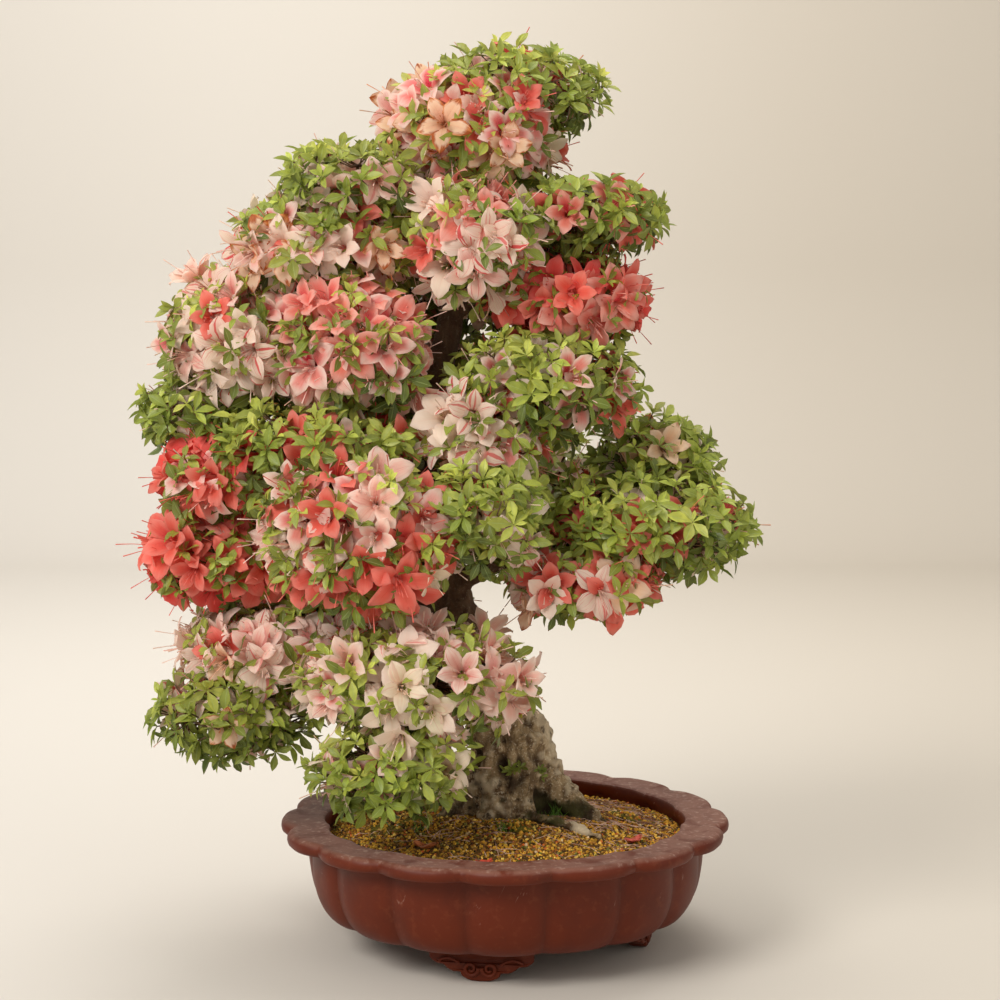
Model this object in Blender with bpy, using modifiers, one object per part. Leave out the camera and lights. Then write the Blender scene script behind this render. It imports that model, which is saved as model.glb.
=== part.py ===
"""A flowering azalea bonsai, planted in a round lobed stoneware pot on four scroll feet.

Metres, +Z up. The front of the tree faces -Y. The origin is the middle of the bottom of the
whole model's box, so the feet stand on z = 0; the pot's axis has its own empty.
"""

import math
import random

import bmesh
import bpy
from mathutils import Matrix, Vector

CLEARANCE = 0.0003  # between two pieces that touch
CUT_OVERSHOOT = 0.002  # how far a cutter runs past the face it cuts
WELD = 1e-6  # corners closer than this become one

# Pot
LOBES = 16
STEPS_PER_LOBE = 4
LIP_RADIUS = 0.2105  # at the crest of a lobe
LIP_NOTCH = 0.0085  # how far the lip draws in between two lobes
LIP_THICKNESS = 0.0125
LIP_ROUNDING = 0.004
LIP_OVERHANG = 0.008  # flat underside of the lip beside the wall
LIP_WIDTH = 0.0415
OPENING_RADIUS = LIP_RADIUS - LIP_WIDTH
RIM_HEIGHT = 0.119  # lip's top above the ground
BODY_RADIUS = LIP_RADIUS - 0.0245  # just under the lip
FLUTE_DEPTH = 0.0045
BASE_RADIUS = BODY_RADIUS - 0.050
BELLY = 3.0  # 2 is a quarter of an ellipse from base to lip, more rounds under more sharply
WALL = 0.010
FLOOR = 0.011
BASE_RIM_HEIGHT = 0.006
BASE_RIM_WIDTH = 0.005

# Feet
FOOT_HEIGHT = 0.026
FOOT_RING = BASE_RADIUS - 0.008  # radius of the circle that the feet's middles stand on
FOOT_WIDTH = 0.098
FOOT_SOLE_WIDTH = 0.034
FOOT_DEPTH = 0.022
FOOT_ANGLES = (-99.6, -9.6, 80.4, 170.4)  # degrees from +X

# Drainage
DRAIN_RADIUS = 0.022
NET_SIDE = 0.056
NET_CELLS = 7  # odd, so that the clip's legs pass through the middle row
NET_BAR = 0.0025
NET_THICKNESS = 0.0012
CLIP_WIRE_RADIUS = 0.001
CLIP_CELLS = 1  # cells of the net from its middle to each of the clip's legs
CLIP_WING = 0.020  # how far a leg's bent end runs under the floor
TIE_HOLE_RADIUS = 0.003
TIE_HOLE_DISTANCE = 0.070  # from the pot's axis
TIE_WIRE_RADIUS = 0.00125
TIE_WIRE_ANGLES = (35.0, 125.0)  # degrees from +X
TIE_SPREAD = 0.020  # how far the wires lean out past the roots
TIE_DEPTH = 0.008  # how deep in the soil they end

# Soil
SOIL_BELOW_LIP = 0.016  # at the pot's wall
SOIL_MOUND = 0.017  # how much higher it is at the trunk
MOUND_RADIUS = 0.045
SOIL_TOP = RIM_HEIGHT - SOIL_BELOW_LIP + SOIL_MOUND

# Tree: (x, y, height above the soil's top, radius) along the middle of the wood
WOOD_SIDES = 10
TRUNK = (
    (0.004, 0.026, -0.040, 0.048),
    (0.004, 0.026, -0.008, 0.052),
    (0.004, 0.025, 0.015, 0.049),
    (0.003, 0.022, 0.042, 0.043),
    (0.000, 0.017, 0.070, 0.034),
    (-0.009, 0.012, 0.095, 0.030),
    (-0.019, 0.008, 0.120, 0.028),
    (-0.035, 0.004, 0.153, 0.026),
    (-0.050, 0.006, 0.195, 0.023),
    (-0.061, 0.006, 0.241, 0.021),
    (-0.069, 0.004, 0.297, 0.019),
    (-0.070, 0.002, 0.353, 0.017),
    (-0.063, 0.000, 0.409, 0.0145),
    (-0.051, 0.000, 0.464, 0.012),
    (-0.042, 0.000, 0.519, 0.0095),
    (-0.034, 0.000, 0.574, 0.0075),
    (-0.029, 0.000, 0.619, 0.0058),
    (-0.025, 0.000, 0.665, 0.004),
)
LIMBS = {
    "lower_left": (
        (-0.041, 0.003, 0.163, 0.0105),
        (-0.098, -0.022, 0.159, 0.0085),
        (-0.162, -0.032, 0.156, 0.0065),
        (-0.227, -0.032, 0.142, 0.0045),
    ),
    "lower_front": (
        (-0.035, 0.002, 0.152, 0.0090),
        (-0.059, -0.065, 0.148, 0.0070),
        (-0.080, -0.110, 0.136, 0.0050),
    ),
    "mid_left": (
        (-0.057, 0.005, 0.225, 0.0100),
        (-0.116, -0.022, 0.241, 0.0080),
        (-0.180, -0.032, 0.254, 0.0060),
        (-0.240, -0.032, 0.266, 0.0042),
    ),
    "right": (
        (-0.056, 0.005, 0.216, 0.0120),
        (-0.014, -0.024, 0.238, 0.0105),
        (0.036, -0.050, 0.257, 0.0085),
        (0.094, -0.060, 0.267, 0.0065),
        (0.150, -0.052, 0.259, 0.0045),
    ),
    "right_riser": (
        (0.036, -0.050, 0.257, 0.0065),
        (0.078, -0.030, 0.291, 0.0055),
        (0.108, -0.022, 0.326, 0.0040),
    ),
    "center_front": (
        (-0.062, 0.005, 0.250, 0.0085),
        (-0.081, -0.070, 0.278, 0.0065),
        (-0.098, -0.115, 0.288, 0.0045),
    ),
    "left_center": (
        (-0.069, 0.003, 0.316, 0.0090),
        (-0.113, -0.055, 0.342, 0.0070),
        (-0.173, -0.082, 0.350, 0.0055),
        (-0.220, -0.078, 0.353, 0.0040),
    ),
    "center_right": (
        (-0.069, 0.002, 0.342, 0.0095),
        (-0.032, -0.045, 0.372, 0.0075),
        (0.018, -0.062, 0.388, 0.0055),
        (0.056, -0.056, 0.392, 0.0040),
    ),
    "left": (
        (-0.064, 0.001, 0.402, 0.0085),
        (-0.114, -0.036, 0.428, 0.0070),
        (-0.185, -0.045, 0.440, 0.0055),
        (-0.240, -0.040, 0.436, 0.0040),
    ),
    "upper_right": (
        (-0.050, 0.000, 0.468, 0.0070),
        (-0.005, -0.026, 0.492, 0.0058),
        (0.049, -0.034, 0.514, 0.0045),
        (0.078, -0.030, 0.528, 0.0035),
    ),
    "upper_left": (
        (-0.045, 0.000, 0.502, 0.0065),
        (-0.095, -0.034, 0.520, 0.0055),
        (-0.150, -0.042, 0.531, 0.0045),
        (-0.190, -0.036, 0.535, 0.0035),
    ),
    "back_low_left": (
        (-0.046, 0.006, 0.180, 0.0100),
        (-0.085, 0.060, 0.198, 0.0080),
        (-0.140, 0.105, 0.210, 0.0060),
    ),
    "back_low_right": (
        (-0.066, 0.005, 0.275, 0.0100),
        (-0.020, 0.060, 0.288, 0.0080),
        (0.040, 0.100, 0.295, 0.0060),
    ),
    "back_mid": (
        (-0.069, 0.002, 0.370, 0.0085),
        (-0.095, 0.060, 0.390, 0.0065),
        (-0.110, 0.105, 0.400, 0.0050),
    ),
    "back_high": (
        (-0.049, 0.000, 0.478, 0.0065),
        (-0.040, 0.050, 0.500, 0.0052),
        (-0.040, 0.085, 0.512, 0.0040),
    ),
}
ROOT_START = (0.004, 0.026, 0.012)
ROOTS = (  # angle from +X in degrees, reach from the trunk, depth of the far end in the soil, radius
    (48.0, 0.074, 0.010, 0.0150),
    (105.0, 0.080, 0.010, 0.0150),
    (160.0, 0.078, 0.010, 0.0140),
    (205.0, 0.072, 0.006, 0.0150),
    (246.0, 0.056, 0.004, 0.0130),
    (300.0, 0.058, 0.006, 0.0130),
)
BUTTRESS = (
    (0.008, 0.022, 0.058, 0.022),
    (0.028, 0.014, 0.034, 0.020),
    (0.052, 0.006, 0.012, 0.016),
    (0.076, -0.002, -0.002, 0.012),
    (0.094, -0.008, -0.014, 0.007),
)
SURFACE_ROOT = (  # x, y, radius, lying on the soil
    (0.000, -0.005, 0.0060),
    (0.020, -0.026, 0.0052),
    (0.040, -0.038, 0.0046),
    (0.062, -0.051, 0.0038),
    (0.086, -0.066, 0.0026),
)

# Crown: middle (its height above the soil's top) and half sizes of each mass of leaves or
# blossom, before its neighbours trim it
CROWN_FULLNESS = 1.15  # scales every mass about its own middle
MASS_GAP = 0.001
WOOD_GAP = 0.0006
MASSES = {
    "blossoms_apex": ((-0.030, -0.012, 0.632), (0.088, 0.072, 0.062)),
    "leaves_apex": ((0.002, 0.004, 0.670), (0.074, 0.060, 0.038)),
    "blossoms_upper_left": ((-0.155, -0.040, 0.535), (0.092, 0.066, 0.048)),
    "leaves_upper_left": ((-0.130, -0.046, 0.585), (0.070, 0.056, 0.030)),
    "blossoms_upper_right": ((0.060, -0.030, 0.492), (0.066, 0.066, 0.048)),
    "leaves_upper_right": ((0.062, -0.028, 0.552), (0.068, 0.062, 0.030)),
    "blossoms_upper_front": ((-0.025, -0.075, 0.535), (0.060, 0.050, 0.052)),
    "blossoms_left": ((-0.230, -0.036, 0.448), (0.074, 0.062, 0.060)),
    "blossoms_left_front": ((-0.135, -0.088, 0.440), (0.070, 0.046, 0.055)),
    "leaves_left": ((-0.285, -0.030, 0.380), (0.046, 0.040, 0.034)),
    "leaves_center_right": ((0.030, -0.062, 0.405), (0.076, 0.060, 0.040)),
    "blossoms_center_right": ((-0.020, -0.084, 0.358), (0.052, 0.044, 0.042)),
    "leaves_left_center": ((-0.170, -0.092, 0.352), (0.096, 0.050, 0.032)),
    "blossoms_left_center": ((-0.245, -0.046, 0.322), (0.062, 0.058, 0.042)),
    "blossoms_mid_left": ((-0.262, -0.030, 0.258), (0.066, 0.062, 0.050)),
    "leaves_mid_left": ((-0.180, -0.010, 0.232), (0.050, 0.052, 0.026)),
    "blossoms_center_front": ((-0.120, -0.130, 0.275), (0.092, 0.052, 0.062)),
    "leaves_center_front": ((-0.020, -0.118, 0.295), (0.048, 0.046, 0.040)),
    "leaves_right": ((0.122, -0.052, 0.278), (0.090, 0.066, 0.038)),
    "blossoms_right": ((0.075, -0.080, 0.232), (0.070, 0.050, 0.034)),
    "leaves_right_riser": ((0.138, -0.018, 0.335), (0.046, 0.040, 0.036)),
    "blossoms_lower_left": ((-0.210, -0.030, 0.165), (0.090, 0.062, 0.040)),
    "leaves_lower_left": ((-0.250, -0.050, 0.104), (0.062, 0.048, 0.038)),
    "blossoms_lower_front": ((-0.082, -0.118, 0.142), (0.100, 0.052, 0.056)),
    "leaves_lower_front": ((-0.100, -0.130, 0.070), (0.062, 0.040, 0.034)),
    "blossoms_back_low": ((-0.150, 0.120, 0.198), (0.096, 0.064, 0.054)),
    "leaves_back_low": ((0.055, 0.118, 0.288), (0.092, 0.060, 0.046)),
    "blossoms_back_mid": ((-0.110, 0.112, 0.388), (0.108, 0.060, 0.066)),
    "leaves_back_high": ((-0.045, 0.088, 0.520), (0.096, 0.056, 0.060)),
}
MASS_FACES = 2  # subdivisions of the icosphere that a mass starts as

# Moss and litter on the soil: angle from +X in degrees, distance from the pot's axis, half size
MOSS = {
    "moss_front": (-76.0, 0.053, 0.018),
    "moss_left": (-172.0, OPENING_RADIUS - 0.065, 0.028),
    "moss_back": (80.0, OPENING_RADIUS - 0.053, 0.024),
    "moss_right": (12.0, OPENING_RADIUS - 0.053, 0.018),
}
MOSS_HEIGHT = 0.005
PETALS = {
    "fallen_petal_front_left": (-128.0, OPENING_RADIUS - 0.051, 0.013),
    "fallen_petal_front": (-98.0, OPENING_RADIUS - 0.031, 0.011),
    "fallen_petal_right": (-28.0, OPENING_RADIUS - 0.037, 0.012),
    "fallen_petal_back": (122.0, OPENING_RADIUS - 0.041, 0.012),
}
PETAL_THICKNESS = 0.0010
PETAL_RISE = 0.003  # how far a petal's rim curls up from the soil

# Colour (linear), roughness, metallic
FINISHES = {
    "stoneware": ((0.115, 0.034, 0.020), 0.62, 0.0),
    "net_plastic": ((0.020, 0.022, 0.024), 0.55, 0.0),
    "wire": ((0.42, 0.30, 0.22), 0.40, 0.9),
    "soil": ((0.30, 0.17, 0.045), 0.95, 0.0),
    "moss": ((0.030, 0.060, 0.012), 0.95, 0.0),
    "bark": ((0.24, 0.19, 0.135), 0.90, 0.0),
    "leaf": ((0.075, 0.160, 0.030), 0.50, 0.0),
    "blossom": ((0.780, 0.260, 0.210), 0.60, 0.0),
    "wilted_petal": ((0.62, 0.26, 0.08), 0.70, 0.0),
}


def clear_scene():
    for obj in list(bpy.data.objects):
        bpy.data.objects.remove(obj, do_unlink=True)


def make_collection(name):
    collection = bpy.data.collections.new(name)
    bpy.context.scene.collection.children.link(collection)
    return collection


def make_material(name):
    colour, roughness, metallic = FINISHES[name]
    material = bpy.data.materials.new(name)
    material.use_nodes = True
    shader = material.node_tree.nodes["Principled BSDF"]
    shader.inputs["Base Color"].default_value = (*colour, 1.0)
    shader.inputs["Roughness"].default_value = roughness
    shader.inputs["Metallic"].default_value = metallic
    material.diffuse_color = (*colour, 1.0)
    return material


def add_object(name, data, collection):
    """Every part, guide and cutter hangs on the pot's axis, so that they move together."""
    obj = bpy.data.objects.new(name, data)
    collection.objects.link(obj)
    obj.parent = POT_AXIS
    return obj


def as_cutter(obj):
    obj.hide_render = True
    obj.display_type = "WIRE"
    return obj


def finish_part(obj, material_name, smooth_degrees=40.0):
    obj.data.materials.clear()
    obj.data.materials.append(MATERIALS[material_name])
    obj.data.shade_smooth()
    obj.data.set_sharp_from_angle(angle=math.radians(smooth_degrees))
    return obj


def evaluated_mesh(obj):
    """The object's mesh with its modifiers or its bevel built in, in the object's own space."""
    depsgraph = bpy.context.evaluated_depsgraph_get()
    return bpy.data.meshes.new_from_object(obj.evaluated_get(depsgraph), depsgraph=depsgraph)


def mesh_from(obj, name, collection):
    """Replace a curve, or an object with modifiers, by a plain welded mesh object."""
    mesh = evaluated_mesh(obj)
    bm = bmesh.new()
    bm.from_mesh(mesh)
    bmesh.ops.remove_doubles(bm, verts=bm.verts, dist=WELD)
    bmesh.ops.recalc_face_normals(bm, faces=bm.faces)
    bm.to_mesh(mesh)
    bm.free()
    place = obj.matrix_world.copy()
    bpy.data.objects.remove(obj, do_unlink=True)
    made = add_object(name, mesh, collection)
    made.matrix_world = place
    return made


def smooth_path(points, pieces):
    """Points on a Catmull-Rom curve through the given (x, y, z, radius) points."""
    rows = [Vector(p) for p in points]
    ends = [2 * rows[0] - rows[1], *rows, 2 * rows[-1] - rows[-2]]
    path = []
    for a, b, c, d in zip(ends, ends[1:], ends[2:], ends[3:]):
        for i in range(pieces):
            t = i / pieces
            path.append(
                0.5
                * (
                    2 * b
                    + (c - a) * t
                    + (2 * a - 5 * b + 4 * c - d) * t * t
                    + (3 * b - a - 3 * c + d) * t ** 3
                )
            )
    path.append(rows[-1])
    return path


def tube(name, path, collection, grow=0.0, sides=WOOD_SIDES):
    """A closed round tube along (x, y, z, radius) points, thicker and longer by grow."""
    curve = bpy.data.curves.new(name, "CURVE")
    curve.dimensions = "3D"
    curve.bevel_depth = 1.0
    curve.bevel_resolution = (sides - 4) // 2
    curve.use_fill_caps = True
    points = [Vector(p) for p in path]
    if grow:
        for end, inner in ((0, 1), (-1, -2)):
            out = (points[end].xyz - points[inner].xyz).normalized() * grow
            points[end] = Vector((*(points[end].xyz + out), points[end].w))
    spline = curve.splines.new("POLY")
    spline.points.add(len(points) - 1)
    for point, (x, y, z, radius) in zip(spline.points, points):
        point.co = (x, y, z, 1.0)
        point.radius = radius + grow
    return mesh_from(add_object(name, curve, collection), name, collection)


def turned(name, profile, steps, collection):
    """A profile of (radius, z) points, outer side running down, turned round the Z axis."""
    mesh = bpy.data.meshes.new(name)
    mesh.from_pydata([(r, 0.0, z) for r, z in profile], [(i, i + 1) for i in range(len(profile) - 1)], [])
    obj = add_object(name, mesh, collection)
    screw = obj.modifiers.new("Turn", "SCREW")
    screw.steps = steps
    screw.render_steps = steps
    screw.use_merge_vertices = True
    screw.merge_threshold = 0.0001
    return obj


def boolean(obj, operation, other=None, collection=None):
    modifier = obj.modifiers.new(operation.title(), "BOOLEAN")
    modifier.operation = operation
    modifier.solver = "EXACT"
    if collection:
        modifier.operand_type = "COLLECTION"
        modifier.collection = collection
    else:
        modifier.object = other
    return modifier


def cylinder(name, radius, bottom, top, at=(0.0, 0.0), sides=32):
    bm = bmesh.new()
    place = Matrix.Translation((at[0], at[1], (bottom + top) / 2))
    bmesh.ops.create_cone(
        bm, cap_ends=True, segments=sides, radius1=radius, radius2=radius, depth=top - bottom, matrix=place
    )
    mesh = bpy.data.meshes.new(name)
    bm.to_mesh(mesh)
    bm.free()
    return as_cutter(add_object(name, mesh, CUTTERS))


def polar(degrees, distance):
    angle = math.radians(degrees)
    return distance * math.cos(angle), distance * math.sin(angle)


# ---- pot -------------------------------------------------------------------------------


def wall_radius(height):
    """Outer radius of the bowl at a height above its base, at the crest of a lobe."""
    span = RIM_HEIGHT - LIP_THICKNESS - FOOT_HEIGHT
    share = min(max(height / span, 0.0), 1.0)
    swell = (1.0 - (1.0 - share) ** BELLY) ** (1.0 / BELLY)
    return BASE_RADIUS + (BODY_RADIUS - BASE_RADIUS) * swell


def inner_profile(rings=6):
    """(radius, z) up the inside of the bowl, from the floor to the opening."""
    floor = FOOT_HEIGHT + FLOOR
    top = RIM_HEIGHT - LIP_THICKNESS
    points = []
    for i in range(rings + 1):
        z = floor + (top - floor) * i / rings
        radius = wall_radius(z - FOOT_HEIGHT) - WALL - FLUTE_DEPTH
        points.append((min(radius, OPENING_RADIUS), z))
    return points


def flute(angle):
    """1 on the crest of a lobe, 0 in the notch between two."""
    return abs(math.cos(angle * LOBES / 2))


def make_pot():
    inside = inner_profile()
    lip_bottom = RIM_HEIGHT - LIP_THICKNESS
    profile = [(0.0, FOOT_HEIGHT + FLOOR), *inside]
    profile += [
        (OPENING_RADIUS, RIM_HEIGHT - LIP_ROUNDING),
        (OPENING_RADIUS + LIP_ROUNDING, RIM_HEIGHT),
        (LIP_RADIUS - LIP_ROUNDING, RIM_HEIGHT),
        (LIP_RADIUS, RIM_HEIGHT - LIP_ROUNDING),
        (LIP_RADIUS - LIP_ROUNDING / 2, lip_bottom + LIP_ROUNDING / 2),
        (BODY_RADIUS + LIP_OVERHANG, lip_bottom),
    ]
    outer_rings = 6
    wall_top = lip_bottom - LIP_ROUNDING
    base_top = FOOT_HEIGHT + BASE_RIM_HEIGHT
    for i in range(outer_rings + 1):
        z = wall_top - (wall_top - base_top) * i / outer_rings
        profile.append((wall_radius(z - FOOT_HEIGHT), z))
    profile += [
        (BASE_RADIUS + BASE_RIM_WIDTH, FOOT_HEIGHT + 0.7 * BASE_RIM_HEIGHT),
        (BASE_RADIUS + BASE_RIM_WIDTH, FOOT_HEIGHT),
        (0.0, FOOT_HEIGHT),
    ]
    turned_bowl = turned("pot", profile, LOBES * STEPS_PER_LOBE, PARTS)
    pot = mesh_from(turned_bowl, "pot", PARTS)
    for vertex in pot.data.vertices:
        x, y, z = vertex.co
        radius = math.hypot(x, y)
        if radius > wall_radius(z - FOOT_HEIGHT) - 0.5 * WALL:  # the outer side alone is lobed
            depth = LIP_NOTCH if z >= lip_bottom else FLUTE_DEPTH
            share = 1.0 - depth * (1.0 - flute(math.atan2(y, x))) / radius
            vertex.co = (x * share, y * share, z)
    for i, angle in enumerate(FOOT_ANGLES):
        boolean(pot, "UNION", make_foot(f"foot_{i + 1}", angle))
    floor_cut = FOOT_HEIGHT - CUT_OVERSHOOT, FOOT_HEIGHT + FLOOR + CUT_OVERSHOOT
    boolean(pot, "DIFFERENCE", cylinder("drain_cut", DRAIN_RADIUS, *floor_cut))
    for angle in TIE_WIRE_ANGLES:
        for side in (0.0, 180.0):
            at = polar(angle + side, TIE_HOLE_DISTANCE)
            name = f"tie_hole_cut_{angle + side:.0f}"
            boolean(pot, "DIFFERENCE", cylinder(name, TIE_HOLE_RADIUS, *floor_cut, at, 12))
    return finish_part(pot, "stoneware", 30.0)


def make_foot(name, angle):
    """A bracket foot with a scrolled outline, drawn as half an outline and its mirror image."""
    sunk = FOOT_HEIGHT + 0.5 * FLOOR
    half = (
        (0.50 * FOOT_WIDTH, sunk),
        (0.50 * FOOT_WIDTH, 0.88 * FOOT_HEIGHT),
        (0.44 * FOOT_WIDTH, 0.72 * FOOT_HEIGHT),
        (0.36 * FOOT_WIDTH, 0.78 * FOOT_HEIGHT),
        (0.28 * FOOT_WIDTH, 0.56 * FOOT_HEIGHT),
        (0.24 * FOOT_WIDTH, 0.60 * FOOT_HEIGHT),
        (0.22 * FOOT_WIDTH, 0.24 * FOOT_HEIGHT),
        (0.5 * FOOT_SOLE_WIDTH, 0.0),
    )
    outline = [*half, *((-x, z) for x, z in reversed(half))]
    curve = bpy.data.curves.new(name, "CURVE")
    curve.dimensions = "2D"
    curve.fill_mode = "BOTH"
    curve.extrude = FOOT_DEPTH / 2
    spline = curve.splines.new("POLY")
    spline.points.add(len(outline) - 1)
    spline.use_cyclic_u = True
    for point, (x, z) in zip(spline.points, outline):
        point.co = (x, z, 0.0, 1.0)
    foot = add_object(name, curve, CUTTERS)
    stand_up = Matrix.Rotation(math.radians(90.0), 4, "X")
    turn = Matrix.Rotation(math.radians(angle + 90.0), 4, "Z")
    foot.matrix_world = Matrix.Translation((*polar(angle, FOOT_RING), 0.0)) @ turn @ stand_up
    bpy.context.view_layer.update()
    return as_cutter(mesh_from(foot, name, CUTTERS))


# ---- drainage ---------------------------------------------------------------------------


def make_net():
    """A square grid of bars over the drain hole."""
    bottom = FOOT_HEIGHT + FLOOR + CLEARANCE
    bm = bmesh.new()
    place = Matrix.Translation((0.0, 0.0, bottom))
    bmesh.ops.create_grid(bm, x_segments=NET_CELLS, y_segments=NET_CELLS, size=NET_SIDE / 2, matrix=place)
    cells = list(bm.faces)
    bmesh.ops.inset_individual(bm, faces=cells, thickness=NET_BAR / 2)
    bmesh.ops.delete(bm, geom=cells, context="FACES_ONLY")
    mesh = bpy.data.meshes.new("drainage_net")
    bm.to_mesh(mesh)
    bm.free()
    net = add_object("drainage_net", mesh, PARTS)
    solidify = net.modifiers.new("Thickness", "SOLIDIFY")
    solidify.thickness = NET_THICKNESS
    solidify.offset = 1.0
    return finish_part(net, "net_plastic")


def make_clip():
    """A wire staple: across the net, down through the hole, its ends bent out under the floor."""
    over = FOOT_HEIGHT + FLOOR + 2 * CLEARANCE + NET_THICKNESS + CLIP_WIRE_RADIUS
    under = FOOT_HEIGHT - CLEARANCE - CLIP_WIRE_RADIUS
    leg = CLIP_CELLS * NET_SIDE / NET_CELLS
    bend = 2 * CLIP_WIRE_RADIUS
    half = [
        (leg + CLIP_WING, under),
        (leg + bend, under),
        (leg, under + bend),
        (leg, over - bend),
        (leg - bend, over),
    ]
    path = half + [(-x, z) for x, z in reversed(half)]
    points = [(x, 0.0, z, CLIP_WIRE_RADIUS) for x, z in path]
    return finish_part(tube("net_clip", points, PARTS, sides=8), "wire")


def tie_wire_path(index):
    """Under the floor from hole to hole, the second wire below the first, and up past the roots."""
    clip_bottom = FOOT_HEIGHT - CLEARANCE - 2 * CLIP_WIRE_RADIUS
    under = clip_bottom - CLEARANCE - TIE_WIRE_RADIUS - index * (2 * TIE_WIRE_RADIUS + CLEARANCE)
    floor = FOOT_HEIGHT + FLOOR
    top = RIM_HEIGHT - SOIL_BELOW_LIP - TIE_DEPTH
    bend = 3 * TIE_WIRE_RADIUS
    half = [
        (0.0, under),
        (TIE_HOLE_DISTANCE - bend, under),
        (TIE_HOLE_DISTANCE, under + bend),
        (TIE_HOLE_DISTANCE, floor + 2 * bend),
        (TIE_HOLE_DISTANCE + TIE_SPREAD, 0.5 * (top + floor)),
        (TIE_HOLE_DISTANCE + TIE_SPREAD + bend, top - bend),
        (TIE_HOLE_DISTANCE + TIE_SPREAD, top),
    ]
    flat = [(-r, z) for r, z in reversed(half)] + half[1:]
    return [(*polar(TIE_WIRE_ANGLES[index], r), z, TIE_WIRE_RADIUS) for r, z in flat]


def make_tie_wires():
    for i in range(len(TIE_WIRE_ANGLES)):
        finish_part(tube(f"tie_wire_{i + 1}", tie_wire_path(i), PARTS, sides=8), "wire")


# ---- tree -------------------------------------------------------------------------------


def above_soil(points):
    """Points whose heights are given from the soil's top, raised to their place."""
    return [(x, y, z + SOIL_TOP, radius) for x, y, z, radius in points]


def root_path(angle, reach, depth, radius):
    """From inside the foot of the trunk, out along the soil and down into it."""
    start = Vector(ROOT_START) + Vector((0.0, 0.0, SOIL_TOP))
    end = start + Vector((*polar(angle, reach), 0.0))
    middle = start.lerp(end, 0.55)
    middle.z = soil_height(middle.xy.length) + 0.55 * radius
    end.z = soil_height(end.xy.length) - depth
    return [(*start, radius * 1.25), (*middle, radius), (*end, radius * 0.45)]


def surface_root_path():
    return [(x, y, soil_height(math.hypot(x, y)) + 0.8 * r, r) for x, y, r in SURFACE_ROOT]


def make_wood(name, collection, grow=0.0):
    """Trunk, limbs and roots joined into one grown piece."""
    pieces = make_collection(f"{name}_pieces")
    for i, (angle, reach, depth, radius) in enumerate(ROOTS):
        path = smooth_path(root_path(angle, reach, depth, radius), 3)
        tube(f"{name}_root_{i + 1}", path, pieces, grow)
    tube(f"{name}_surface_root", smooth_path(surface_root_path(), 2), pieces, grow, 8)
    tube(f"{name}_buttress", smooth_path(above_soil(BUTTRESS), 2), pieces, grow)
    for limb, points in LIMBS.items():
        tube(f"{name}_{limb}", smooth_path(above_soil(points), 3), pieces, grow, 8)
    for obj in pieces.objects:
        as_cutter(obj)
    wood = tube(name, smooth_path(above_soil(TRUNK), 1), collection, grow, 12)
    boolean(wood, "UNION", collection=pieces)
    return mesh_from(wood, name, collection)


# ---- soil -------------------------------------------------------------------------------


def soil_height(radius):
    """Height of the soil's surface: mounded at the trunk, lowest at the pot's wall."""
    share = 1.0 - min(max((radius - MOUND_RADIUS) / (OPENING_RADIUS - MOUND_RADIUS), 0.0), 1.0)
    smooth = share * share * (3.0 - 2.0 * share)
    return RIM_HEIGHT - SOIL_BELOW_LIP + SOIL_MOUND * smooth


def soil_wall():
    """(radius, z) up the soil's side, clear of the bowl's, as far as the soil's edge."""
    edge = RIM_HEIGHT - SOIL_BELOW_LIP
    side = inner_profile()
    wall = [(side[0][0] - 2 * CLEARANCE, side[0][1] + CLEARANCE)]
    for (low_r, low_z), (r, z) in zip(side, side[1:]):
        if z < edge:
            wall.append((r - 2 * CLEARANCE, z))
        else:
            radius = low_r + (r - low_r) * (edge - low_z) / (z - low_z)
            wall.append((radius - 2 * CLEARANCE, edge))
            break
    return wall


def soil_profile(raise_by=0.0):
    *wall, edge = soil_wall()
    edge = (edge[0], edge[1] + raise_by)
    top_rings = 6
    top = []
    for i in range(1, top_rings + 1):
        radius = edge[0] + (MOUND_RADIUS - edge[0]) * i / top_rings
        top.append((radius, soil_height(radius) + raise_by))
    bottom = FOOT_HEIGHT + FLOOR + CLEARANCE
    down = [(0.0, soil_height(0.0) + raise_by), *reversed(top), edge, *reversed(wall), (0.0, bottom)]
    return down


def make_soil(wood_cutter):
    soil = turned("soil_bed", soil_profile(), LOBES * STEPS_PER_LOBE // 2, PARTS)
    soil = mesh_from(soil, "soil_bed", PARTS)
    top = FOOT_HEIGHT + FLOOR + NET_THICKNESS + 2 * CLIP_WIRE_RADIUS + 4 * CLEARANCE
    pocket = NET_SIDE / math.sqrt(2.0) + 4 * CLEARANCE
    cuts = make_collection("soil_cuts")
    cuts.objects.link(cylinder("net_pocket_cut", pocket, FOOT_HEIGHT, top))
    cuts.objects.link(wood_cutter)
    for i in range(len(TIE_WIRE_ANGLES)):
        as_cutter(tube(f"tie_wire_cut_{i + 1}", tie_wire_path(i), cuts, 2 * CLEARANCE, 8))
    boolean(soil, "DIFFERENCE", collection=cuts)
    return finish_part(soil, "soil")


def soil_cutter():
    """The soil with its surface raised by the clearance, for what lies on it."""
    cutter = turned("soil_cut", soil_profile(CLEARANCE), LOBES * STEPS_PER_LOBE // 2, CUTTERS)
    return as_cutter(mesh_from(cutter, "soil_cut", CUTTERS))


def on_soil(angle, distance, lift):
    """A place on the soil's surface, tilted to its slope there."""
    slope = (soil_height(distance + 0.01) - soil_height(distance - 0.01)) / 0.02
    tilt = Matrix.Rotation(-math.atan(slope), 4, "Y")
    turn = Matrix.Rotation(math.radians(angle), 4, "Z")
    return Matrix.Translation((*polar(angle, distance), soil_height(distance) + lift)) @ turn @ tilt


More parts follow.
